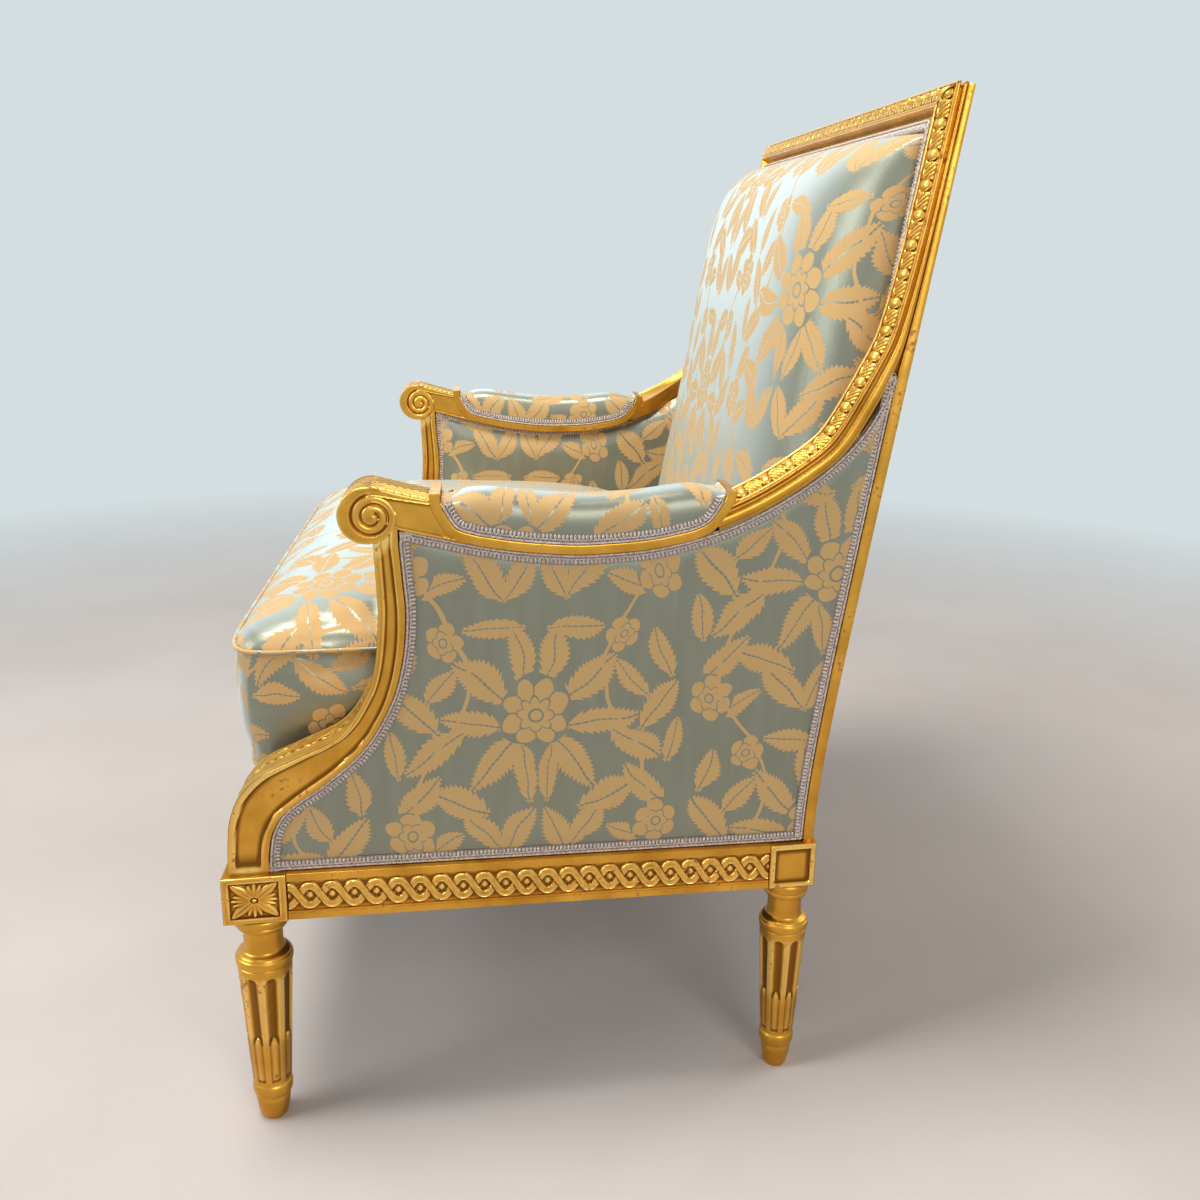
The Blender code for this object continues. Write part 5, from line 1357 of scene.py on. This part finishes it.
def arm_head(name, turn):
    """The arm between the scroll and the pad: a raised band runs from the volute along its upper
    edge and narrows to the clip, and its top is carved with long leaves."""
    rows = 118
    y = np.linspace(SCROLL_Y - 0.004, CLIP_FRONT_Y + 0.030, rows)[:, None]
    crown = smooth_line([(SCROLL_Y - 0.008, SCROLL_Z + SCROLL_RADIUS - 0.0012),
                         (SCROLL_Y + 0.008, SCROLL_Z + SCROLL_RADIUS - 0.0014),
                         (SCROLL_Y + 0.030, SCROLL_Z + SCROLL_RADIUS - 0.0070),
                         (CLIP_FRONT_Y - 0.010, ARM_TOP_Z + 0.002),
                         (CLIP_FRONT_Y + 0.006, ARM_TOP_Z - 0.002),
                         (CLIP_FRONT_Y + 0.014, ARM_TOP_Z - 0.016),
                         (CLIP_FRONT_Y + 0.032, ARM_TOP_Z - 0.030)])
    top = np.interp(y, crown[:, 0], crown[:, 1]) - 0.0022 * (1.0 - ease((y - y[0]) / 0.010))
    start_y, start_z = ARM[0]
    low = mix(SCROLL_Z, start_z, capped((y - SCROLL_Y) / (start_y - SCROLL_Y)))
    low = np.where(y < start_y, low, arm_low(y))
    rise = np.linspace(0.0, 1.0, 56)
    z = mix(low, top, rise)
    below_top = (top - z) / MM
    above_low = (z - low) / MM
    share = capped((y - SCROLL_Y) / (CLIP_FRONT_Y - SCROLL_Y))
    band = mix(8.0, 4.4, share)
    side = 0.9 * step_up(band - below_top, 0.8) + 0.5 * bell((below_top - band + 0.7) / 0.45) - 0.9
    side = side + 0.9 * step_up(2.2 - above_low, 0.6) - 1.3 * capped(1 - below_top / 1.1) ** 2
    side = side + 0.7 * (1.0 - share) * step_up(band - below_top, 0.8)
    side = side - 3.0 * (1.0 - ease((y - y[0]) / 0.008))
    outer = on_side(-FRAME_SET + side * MM, y, z)
    inner = on_side(-FRAME_SET - ARM_WIDTH - side[:, ::-1] * MM, y, z[:, ::-1])
    across = np.linspace(0.0, ARM_WIDTH / MM, 76)[1:-1]
    v = np.abs(across - ARM_WIDTH / MM / 2)
    run = y / MM
    leafy = 2.4 * np.abs(np.sin(math.pi * (run - 0.9 * v) / 7.2)) ** 0.7
    vein = 1.9 * bell(v / 1.3)
    carved = np.maximum(leafy * step_up(25.5 - v, 1.0), vein) - 1.5
    carved = carved * (y < CLIP_FRONT_Y - 0.003)
    crest = on_side(-FRAME_SET - ARM_WIDTH + across * MM, y, top + carved * MM)
    rings = np.hstack([outer, crest[:, ::-1], inner])
    relief = np.hstack([hollows(side, 5, 4), hollows(carved, 4, 4)[:, ::-1], hollows(side[:, ::-1], 5, 4)])
    return gilded(name, turn(rings), relief=relief)


pair("carved_arm_head", arm_head)


def cradle_line():
    """Middle line of the gilt edge under the pad: down from the front clip, along the arm and up to
    the back clip."""
    flat_y = np.linspace(CLIP_FRONT_Y + 0.034, CLIP_BACK_Y - 0.034, 14)
    flat = points_of(flat_y, arm_low(flat_y) + 0.0050)
    back_top = float(arm_low(CLIP_BACK_Y)) + ARM_LIP + CARVED_CANT
    front_y, back_y = CLIP_FRONT_Y + 0.0165, CLIP_BACK_Y - 0.018
    front = [(CLIP_FRONT_Y, ARM_TOP_Z + 0.0065), (CLIP_FRONT_Y + 0.0006, ARM_TOP_Z - 0.003),
             (CLIP_FRONT_Y + 0.005, ARM_TOP_Z - 0.0135), (front_y, float(arm_low(front_y)) + 0.0080)]
    back = [(back_y, float(arm_low(back_y)) + 0.0085), (CLIP_BACK_Y - 0.0068, back_top - 0.0125),
            (CLIP_BACK_Y - 0.0016, back_top - 0.003), (CLIP_BACK_Y + 0.0005, back_top + 0.0055)]
    return resample(smooth_line(np.vstack([front, flat, back])), 240)


CRADLE = cradle_line()
CRADLE_HALF = 4.9 * MM


def cradle(name, turn):
    """The gilt edge and its two clips: a flat strap with rounded arrises, carried along CRADLE."""
    normal = plane_normals(CRADLE)
    corner = np.linspace(0.0, math.pi / 2, 6)
    half_t, half_w, r = CRADLE_HALF, ARM_WIDTH / 2 + 0.9 * MM, 1.6 * MM
    arrises = []
    for k, (way_w, way_t) in enumerate(((1, 1), (-1, 1), (-1, -1), (1, -1))):
        a = corner + k * math.pi / 2
        arrises.append(points_of(way_w * (half_w - r) + r * np.cos(a), way_t * (half_t - r) + r * np.sin(a)))
    section = np.concatenate(arrises)
    middle_out = -FRAME_SET - ARM_WIDTH / 2
    wide = np.interp(CRADLE[:, 0], [CLIP_BACK_Y - 0.03, CLIP_BACK_Y + 0.01], [0.0, 1.0])[:, None]
    plane = CRADLE[:, None] + normal[:, None] * section[None, :, 1:]
    squeeze = mix(1.0, arm_width(CRADLE[:, :1]) / ARM_WIDTH, wide)
    out = (middle_out + section[:, 0] + FRAME_SET) * squeeze - FRAME_SET
    rings = on_side(out, plane[..., 0], plane[..., 1])
    return gilded(name, turn(rings), crease=50.0)


pair("pad_cradle", cradle)


def lip_spine():
    """The front lip in the side's plane: from under the back clip, along the arm's sweep and up."""
    normal = plane_normals(ARM)
    lift = ARM + normal * ARM_LIP
    sweep = lift[(ARM[:, 0] > CLIP_BACK_Y - 0.012) & (lift[:, 1] < ARM_JOINT_Z - 0.030)]
    z = np.linspace(ARM_JOINT_Z + 0.022, CREST_Z + 0.004, 60)
    stile = np.stack(back_point(z, lip_depth(z)), axis=-1)
    line = resample(smooth_line(np.vstack([sweep[::8], stile[::4], stile[-1:]])), 900)
    window = np.hanning(113)
    window /= window.sum()
    padded = np.vstack([2 * line[0] - line[56:0:-1], line, 2 * line[-1] - line[-2:-58:-1]])
    return np.stack([np.convolve(padded[:, k], window, "valid") for k in (0, 1)], axis=-1)


SPINE = lip_spine()


def moulding(settle, width):
    """Section of the back frame's front: (distance in, distance forward of the lip) in millimetres, and
    where it is carved. settle goes from 0 on the arm, where the bead and cove are broad, to 1 on the
    stile."""
    cove, bead, fillet = mix(6.0, 3.5, settle), mix(8.6, 3.8, settle), mix(2.4, 0.6, settle)
    t = np.linspace(0.0, 1.0, 10)
    end = -(1.5 + cove + bead + fillet)
    far = width - 1.0
    w, d, marks = [], [], []

    def add(a, b, mark=0.0):
        a, b = np.broadcast_arrays(a + 0 * settle, b + 0 * settle)
        w.append(a)
        d.append(b)
        marks.append(np.full(a.shape[1], mark))

    add(9.0, end)
    add(2.4, end)
    add(2.4, end + fillet * 0.9)
    add(1.5 - 2.1 * dome(2 * t - 1), end + fillet + bead * t)
    add(1.4 + 2.1 * np.sin(math.pi * t), -1.5 - cove * (1 - t))
    add(np.array([0.15, 0.0, 0.0, 0.25, 0.9]), np.array([-1.45, -1.2, -0.4, 0.1, 0.45]))
    carved = np.linspace(0.9, 19.2, 40)
    add(carved, 0.2 + carved * 0.52, 1.0)
    for a, b in ((20.0, 10.4), (20.4, 10.9), (21.6, 10.9), (22.0, 10.2)):
        add(a, b)
    dip = np.linspace(0.05, 1.0, 9)
    add(22.0 + (far - 22.0) * dip, 10.2 - 7.4 * np.sin(dip * math.pi / 2))
    add(far + 1.0, 2.2)
    add(far + 1.0, -5.0)
    add(far - 6.0, end)
    return np.concatenate(w, 1), np.concatenate(d, 1), np.concatenate(marks)


def carve_band(run, w, marks):
    """The ribbon's height on the carved columns, and nothing elsewhere."""
    return ribbon(run, np.clip(w - 0.9, 0.0, 18.3) * 20.0 / 18.3) * marks


MITRE_OVERLAP = 1.7 * MM
# The carved face is canted: shares of the carving's height that go forwards and outwards
CARVED_FORWARD, CARVED_OUT = 0.89, 0.46


def swept_front(name, turn):
    """Arm sweep and stile front in one run of mouldings, mitred at the top corner."""
    spine_y, spine_z = SPINE.T
    settle_line = 1.0 - np.exp(-np.maximum(spine_z - ARM_JOINT_Z, 0.0) / LIP_EASE)
    wide_line = np.maximum(arm_width(spine_y), FRAME_FACE)
    wide_line = np.where(spine_z > ARM_JOINT_Z - 0.02, FRAME_FACE, wide_line)
    spine_s = lengths_of(SPINE)
    total = spine_s[-1]
    s = np.linspace(0.0, total, 520)
    settle = np.interp(s, spine_s, settle_line)[:, None]
    width = np.interp(s, spine_s, wide_line)[:, None] / MM
    w, d, marks = moulding(settle, width)
    normal_y, normal_z = plane_normals(SPINE).T
    reach = np.interp(CREST_Z - (w + d * normal_z[-1]) * MM, spine_z, spine_s)
    where = s[:, None] / total * (reach + MITRE_OVERLAP)
    height = carve_band(where / MM, w, marks)
    forward = d + height * CARVED_FORWARD
    inward = w - height * CARVED_OUT * marks
    y = np.interp(where, spine_s, spine_y) + forward * MM * np.interp(where, spine_s, normal_y)
    z = np.interp(where, spine_s, spine_z) + forward * MM * np.interp(where, spine_s, normal_z)
    rings = on_side(-FRAME_SET - inward * MM, y, z)
    relief = hollows(height, 5, 4, 1.0) * marks + cove_shade_marks(w, d, marks)
    return gilded(name, turn(rings), relief=relief)


def cove_shade_marks(w, d, marks):
    """Painted shade in the cove and along the fillets, from how far the section lies behind its face."""
    sunk = capped((w - 1.5) / 2.2) * (d < -1.3) * (w < 5.0)
    return sunk * 0.5 * (marks == 0)


pair("swept_front_moulding", swept_front)


def top_front():
    """The crest rail's mouldings, mitred to the stiles' at both ends."""
    w, d, marks = moulding(np.array([[1.0]]), np.array([[30.0]]))
    lip_y = float(back_point(CREST_Z, LIP_DEPTH)[0])
    half = float(side_x(lip_y, -FRAME_SET))
    share = np.linspace(-1.0, 1.0, 700)[:, None]
    end_y = back_point(CREST_Z - w * MM, LIP_DEPTH + d * MM)[0]
    run = share * side_x(end_y, -FRAME_SET - (w - 0.5) * MM) + half
    height = carve_band(run / MM, w, marks)
    up, forward = w - height * CARVED_OUT * marks, d + height * CARVED_FORWARD
    y, z = back_point(CREST_Z - up * MM, LIP_DEPTH + forward * MM)
    x = share * side_x(y, -FRAME_SET - up * MM + MITRE_OVERLAP)
    relief = hollows(height, 5, 4, 1.0) * marks + cove_shade_marks(w, d, marks)
    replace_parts(gilded("carved_crest_moulding", centred(x, y, z), relief=relief), "top_rail")


top_front()


def post_band(z):
    """Depth of the plain band behind the bead: it narrows where the mouldings settle on the stile."""
    narrowed = 0.0072 + 0.0045 * np.exp(-np.maximum(z - ARM_JOINT_Z, 0) / LIP_EASE)
    return np.where(z < ARM_JOINT_Z, BAND, narrowed)


def back_post(name, turn):
    """The stile's plain body, with its rear arris rounded and rubbed."""
    z = np.linspace(FOOT_Z - 0.001, CREST_Z, 240)[:, None]
    band = post_band(z)
    deep = stile_depth(z) - FRONT_REBATE
    a = np.linspace(0.0, math.pi / 2, 5)
    r = 0.0016
    inner = np.maximum(deep, band)
    w = np.hstack([r * (1 - np.sin(a)) + 0 * z, 0 * z, 0 * z + (0.0004, 0.0092, 0.0092, 0.030, 0.030)])
    depth = np.hstack([r * (1 - np.cos(a)) + 0 * z, band - 0.0004, band, band, inner, inner, 0 * z])
    end = np.minimum(z, CREST_Z - w * (z > CREST_Z - 0.05))
    y, height = back_point(end, depth)
    return gilded(name, turn(on_side(-FRAME_SET - w, y, height)), WORN_GOLD, crease=50.0)


def crest_post():
    """The crest rail's plain body, mitred to the posts."""
    half = float(side_x(back_point(CREST_Z, 0.0)[0], -FRAME_SET))
    share = np.linspace(-1.0, 1.0, 120)[:, None]
    band = float(post_band(np.array(HEIGHT)))
    down, depth = np.array([(0.0012, 0.0), (0.0003, 0.0004), (0.0, 0.0014), (0.0, band),
                            (0.030, band + 0.004), (0.030, 0.0)]).T
    x = share * (half - down)
    y, z = back_point(CREST_Z - down, depth)
    gilded("crest_rail_body", centred(x, y, z), WORN_GOLD, crease=50.0)


pair("stile_body", back_post)
crest_post()


def arm_pad(name, turn):
    """The stuffed arm pad: it swells from the cradle's line to a rounded top, fullest in the middle."""
    inner = CRADLE + plane_normals(CRADLE) * 4.6 * MM
    rows, columns = 130, 60
    a = crowded(rows)[:, None]
    y = mix(inner[:, 0].min() + 0.0012, inner[:, 0].max() - 0.0012, (a + 1) / 2)
    full = np.sqrt(capped(1.0 - np.abs(a) ** 7.0)) * 0.97 + 0.03
    low_line = inner[np.argsort(inner[:, 0])]
    base = np.interp(y, low_line[:, 0], low_line[:, 1])
    ridge = arm_low(y) + ARM_PAD_TOP * mix(0.70, 1.0, full)
    ridge = mix(np.minimum(base + 0.006, ridge), ridge, full)
    ridge = np.maximum(ridge, base + 0.0015)
    turn_by = np.linspace(-math.pi / 2, math.pi / 2, columns)
    c = np.sign(np.sin(turn_by)) * np.abs(np.sin(turn_by)) ** 0.62
    top = np.cos(turn_by) ** 0.50
    half = arm_width(y) / 2 * mix(0.90, 1.0, full)
    belly = 1.0 + 0.02 * np.sin(math.pi * capped(top))
    out = -FRAME_SET - arm_width(y) / 2 + c * (half - 0.0004) * belly
    z = base + (ridge - base) * top
    shown = on_side(out, y, z)
    hidden = on_side(-FRAME_SET - arm_width(y) / 2 + c * half * 0.8, y, base - 0.003)
    arc = grid_lengths(shown, 1)
    uv = points_of(y - 0.27, arc)
    return cover_piece(name, shown, hidden, uv, turn)


pair("arm_cushioning", arm_pad, "arm_pad")


# Braid and piping

def unit(vectors):
    """The vectors at length 1."""
    return vectors / np.maximum(np.linalg.norm(vectors, axis=-1, keepdims=True), 1e-12)


def tube(line, radius, sides, up):
    """A round tube on a line; radius is a number or an array (n, sides)."""
    way = unit(np.gradient(line, axis=0))
    across = unit(np.cross(way, up))
    over = np.cross(across, way)
    angle = circle(sides)
    radius = np.broadcast_to(radius, (len(line), sides))[..., None]
    c, s = np.cos(angle)[None, :, None], np.sin(angle)[None, :, None]
    return line[:, None] + radius * (across[:, None] * c + over[:, None] * s)


TAPE_STEP, CORD_STEP = 0.0040, 0.0013
CORD_RADIUS, CORD_LAY = 0.00112, 0.0066
LOOP_PITCH, LOOP_SWING, LOOP_SAMPLES, YARN_RADIUS = 0.00385, 0.00155, 8, 0.00082
CORD_SIDES, YARN_SIDES, PIPING_SIDES = 6, 5, 10


def braid_strip(name, line, up, turn):
    """Gimp: a woven tape, a two-ply cord along its outer edge, and a yarn looped as a trochoid beside
    it. The cord lies to the left of the line's way as seen from above the strip."""
    total = lengths_of(line)[-1]
    count = max(int(total / TAPE_STEP), 8)
    s = lengths_of(line)

    def at(where):
        place = at_length(line, where)
        over = unit(np.stack([np.interp(where, s, up[:, k]) for k in range(3)], axis=-1))
        way = unit(np.gradient(place, axis=0))
        return place, unit(np.cross(over, way)), over

    place, side, over = at(np.linspace(0.0, total, count))
    half = GIMP_WIDTH / 2
    section = np.array([(-half, 0.0), (-half, 0.9), (half, 0.9), (half, 0.0)]) * [1.0, MM]
    tape = place[:, None] + side[:, None] * section[None, :, :1] + over[:, None] * section[None, :, 1:]
    where = np.linspace(0.0, total, max(int(total / CORD_STEP), 8))
    place, side, over = at(where)
    angle = circle(CORD_SIDES)
    lay = CORD_RADIUS * (1.0 + 0.16 * np.cos(2 * angle - 2 * math.pi * where[:, None] / CORD_LAY))
    cord = tube(place + side * 0.0037 + over * 0.0011, lay, CORD_SIDES, over)
    laps = round(total / LOOP_PITCH)
    phase = np.linspace(0.0, 2 * math.pi * laps, laps * LOOP_SAMPLES + 1)
    base = phase / phase[-1] * total
    run = np.clip(base + LOOP_SWING * np.sin(phase), 0.0, total)
    order = np.argsort(run, kind="stable")
    place, side, over = (values[np.argsort(order)] for values in at(run[order]))
    loops = place + side * (-0.0014 + 0.00245 * np.cos(phase))[:, None]
    loops = loops + over * (0.00125 + 0.00055 * np.sin(phase))[:, None]
    yarn = tube(loops, YARN_RADIUS, YARN_SIDES, over)
    # The tape, which lies under the cord and the yarn, gets a relief of 0.9, which the braid's material
    # paints as shade
    relief = np.concatenate([np.full(tape.shape[0] * 4, 0.9), np.zeros(cord.shape[0] * CORD_SIDES),
                             np.zeros(yarn.shape[0] * YARN_SIDES)])
    bodies = [turn(tape), turn(cord), turn(yarn)]
    return joined_skins(name, bodies, BRAID, "gimp", relief=relief, crease=70.0)


def inset_line(line, distance, closed):
    """A plane line moved to its left, its corners mitred by the mean of the two directions."""
    after = np.roll(line, -1, axis=0) - line
    if not closed:
        after[-1] = after[-2]
    before = np.roll(after, 1, axis=0)
    if not closed:
        before[0] = after[0]
    left_a = unit(points_of(-after[:, 1], after[:, 0]))
    left_b = unit(points_of(-before[:, 1], before[:, 0]))
    middle = unit(left_a + left_b)
    return line + middle * (distance / np.clip((middle * left_a).sum(-1), 0.5, 1.0))[:, None]


def out_of_side(path, inner):
    """The way square to the side's plane, for each point: outwards, or inwards for an inner braid."""
    sign = -1.0 if inner else 1.0
    return np.broadcast_to(unit(np.array([sign, sign * SIDE_TAPER, 0.0])), path.shape)


def side_braid(name, turn, inner):
    """Braid round a side panel, laid on its flat border, in the side's plane."""
    floor, top_line, front_line, back_line = panel_edges(inner)
    if inner:
        loop = np.vstack([top_line[:0:-1], front_line[::-1]])
    else:
        loop = np.vstack([floor[:-1], back_line[:-1], top_line[:0:-1], front_line[:0:-1]])
    count = int(lengths_of(loop)[-1] / 0.0016)
    line = resample(loop if inner else np.vstack([loop, loop[:1]]), count)
    line = inset_line(line, GIMP_WIDTH / 2 + 0.0006, False)
    face = inner_out(line[:, 0]) - 0.0052 if inner else -(FRAME_SET + REBATE) + 0.0048
    path = on_side(face, line[:, 0], line[:, 1])[::-1]
    return braid_strip(name, path, out_of_side(path, inner), turn)


pair("outer_side_braid", lambda *piece: side_braid(*piece, False), "side_gimp_outer")
pair("inner_side_braid", lambda *piece: side_braid(*piece, True), "side_gimp_inner")


def pad_braid(name, turn, inner):
    """Braid along the foot of an arm pad, on the cradle's inner line, over its rounded ends."""
    line = CRADLE + plane_normals(CRADLE) * (CRADLE_HALF + GIMP_WIDTH / 2)
    line = resample(line[9:-9], 220)
    out = -FRAME_SET - arm_width(line[:, 0]) + 0.0006 if inner else -FRAME_SET - 0.0006
    path = on_side(out, line[:, 0], line[:, 1])
    return braid_strip(name, path if inner else path[::-1], out_of_side(path, inner), turn)


pair("outer_pad_braid", lambda *piece: pad_braid(*piece, False), "arm_gimp_outer")
pair("inner_pad_braid", lambda *piece: pad_braid(*piece, True), "arm_gimp_inner")


def back_braid(name, foot, depth_of, front, node):
    """Braid up one stile, under the crest rail and down the other, just inside the frame."""
    top = CREST_Z - FRAME_FACE - 0.0008 - GIMP_WIDTH / 2
    z = np.linspace(foot, top, 300)
    x = frame_half(z, depth_of(z)) - 0.0008 - GIMP_WIDTH / 2
    across = np.linspace(x[-1], -x[-1], 360)[1:-1]
    plan = np.vstack([points_of(x, z), points_of(across, top), points_of(-x[::-1], z[::-1])])
    plan = resample(plan, 1200)
    y, height = back_point(plan[:, 1], depth_of(plan[:, 1]))
    path = centred(plan[:, 0], y, height)
    slope = lean_at(plan[:, 1])[1]
    up = unit(points_of(0.0, -1.0, slope)) * (1.0 if front else -1.0)
    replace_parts(braid_strip(name, path[::-1] if front else path, up, as_drawn), node)


back_braid("back_braid", BACK_PAD_FOOT_Z, lambda z: stile_depth(z) + GAP, True, "back_gimp")
back_braid("outside_back_braid", FOOT_Z + 0.006, lambda z: REAR_REBATE - 0.0047, False,
           "outside_back_gimp")


def piping(name, z, size, radius):
    """Self-covered piping sewn round the cushion at one seam."""
    rim = cushion_rim(420)
    x, y = cushion_place(rim[:, 0] * size, rim[:, 1] * size)
    y = y - FRONT_FILL * ease((z - PLATFORM_TOP) / 0.05) * ease(-rim[:, 1] * size)
    line = centred(x, y, z)
    line = np.vstack([line, line[:1]])
    rings = tube(line, radius, PIPING_SIDES, np.broadcast_to((0.0, 0.0, 1.0), line.shape))[:-1]
    uv = points_of(lengths_of(line)[:-1, None], np.linspace(0.0, 0.014, PIPING_SIDES))
    quads = grid_faces(len(rings), PIPING_SIDES, True, closed=True)
    piece = make_piece(name, rings, quads, [], SILK, "lampas", body="cushion", uv=uv)


piping("upper_piping", PIPED_SEAM_Z, 0.989, 0.0023)
piping("lower_piping", PLATFORM_TOP + 0.0050, 0.9775, 0.0021)


# Room, lamps and camera

def floor():
    """A plain pale carpet floor, one square that fades out with distance."""
    material, tree, shader = material_of("pale carpet")
    where = object_place(tree)
    nap = noise_in(where, 3.2, 3.0)
    pile = noise_in(where, 700.0, 2.0)
    colour = blend(ramp(nap, (0.35, 0.0), (0.65, 1.0)), (0.575, 0.525, 0.500), (0.61, 0.560, 0.535))
    finish_shader(shader, Base_Color=colour, Roughness=0.95, Specular_IOR_Level=0.1)
    bump_from(shader, pile, 0.3, 0.001)
    away = node_in(tree, "ShaderNodeVectorMath", operation="LENGTH")
    connect(away.inputs[0], where)
    fade = ramp(Value(away.outputs["Value"]) * 0.2, (0.30, 0.0), (0.62, 1.0))
    clear = node_in(tree, "ShaderNodeBsdfTransparent")
    mixed = node_in(tree, "ShaderNodeMixShader")
    for k, value in enumerate((fade, Value(shader.outputs[0]), Value(clear.outputs[0]))):
        connect(mixed.inputs[k], value)
    connect(tree.nodes["Material Output"].inputs["Surface"], Value(mixed.outputs[0]))
    mesh = bpy.data.meshes.new("floor")
    reach = 6.0
    corners = [(-reach, -reach, 0.0), (reach, -reach, 0.0), (reach, reach, 0.0), (-reach, reach, 0.0)]
    mesh.from_pydata(corners, [], [(0, 1, 2, 3)])
    mesh.materials.append(material)
    add_object("floor", mesh)


def lamp(name, place, target, size, power, colour):
    """A square softbox that looks at a point."""
    light = bpy.data.lights.new(name, "AREA")
    light.shape = "SQUARE"
    light.size = size
    light.energy = power
    light.color = colour
    holder = add_object(name, light)
    holder.location = place
    holder.visible_camera = False
    holder.rotation_euler = (Vector(target) - Vector(place)).to_track_quat("-Z", "Y").to_euler()


def studio():
    """Soft light from above and in front, a weaker fill, and a pale surround."""
    world = bpy.data.worlds.new("studio")
    bpy.context.scene.world = world
    world.use_nodes = True
    tree = world.node_tree
    glow = tree.nodes["Background"]
    finish_shader(glow, Color=(0.64, 0.67, 0.68), Strength=0.40)
    backdrop = node_in(tree, "ShaderNodeBackground", Color=(0.66, 0.73, 0.75), Strength=1.0)
    mixed = node_in(tree, "ShaderNodeMixShader")
    path = node_in(tree, "ShaderNodeLightPath")
    camera_ray, glossy_ray, transmission_ray = (
        Value(path.outputs[f"Is {kind} Ray"]) for kind in ("Camera", "Glossy", "Transmission"))
    seen = maths("MAXIMUM", maths("MAXIMUM", camera_ray, glossy_ray), transmission_ray)
    for k, value in enumerate((seen, Value(glow.outputs[0]), Value(backdrop.outputs[0]))):
        connect(mixed.inputs[k], value)
    connect(tree.nodes["World Output"].inputs["Surface"], Value(mixed.outputs[0]))
    lamp("overhead", (0.3, -0.7, 2.9), (0.0, 0.0, 0.5), 1.1, 62.0, (1.0, 0.97, 0.92))
    lamp("front", (0.9, -2.6, 1.9), (0.0, 0.0, 0.5), 1.4, 34.0, (0.93, 0.97, 1.0))
    lamp("far", (-3.0, -0.9, 1.9), (0.0, 0.0, 0.5), 2.2, 12.0, (0.92, 0.98, 1.0))
    lamp("rear", (-0.9, 3.0, 2.0), (0.0, 0.0, 0.6), 1.6, 26.0, (1.0, 0.97, 0.92))
    lamp("side", (2.7, 0.9, 1.7), (0.0, 0.1, 0.5), 1.2, 24.0, (1.0, 0.96, 0.90))


def camera():
    """The photograph's viewpoint: place, pitch, yaw, roll and lens."""
    pitch, yaw, roll = 0.2834, -0.0926, 0.0176
    forward = Vector((-math.cos(yaw) * math.cos(pitch), -math.sin(yaw) * math.cos(pitch), -math.sin(pitch)))
    right = Vector((-math.sin(yaw), math.cos(yaw), 0.0))
    up = right.cross(forward)
    across = math.cos(roll) * right + math.sin(roll) * up
    upward = -math.sin(roll) * right + math.cos(roll) * up
    data = bpy.data.cameras.new("camera")
    data.lens = 36.65
    data.sensor_width = 36.0
    data.clip_start = 0.05
    eye = add_object("camera", data)
    turn = Matrix((across, upward, -forward)).transposed()
    eye.matrix_world = Matrix.Translation((1.5356, 0.2309 - MIDDLE, 0.8818)) @ turn.to_4x4()
    bpy.context.scene.camera = eye


floor()
studio()
camera()
bpy.context.scene.view_settings.view_transform = "Standard"
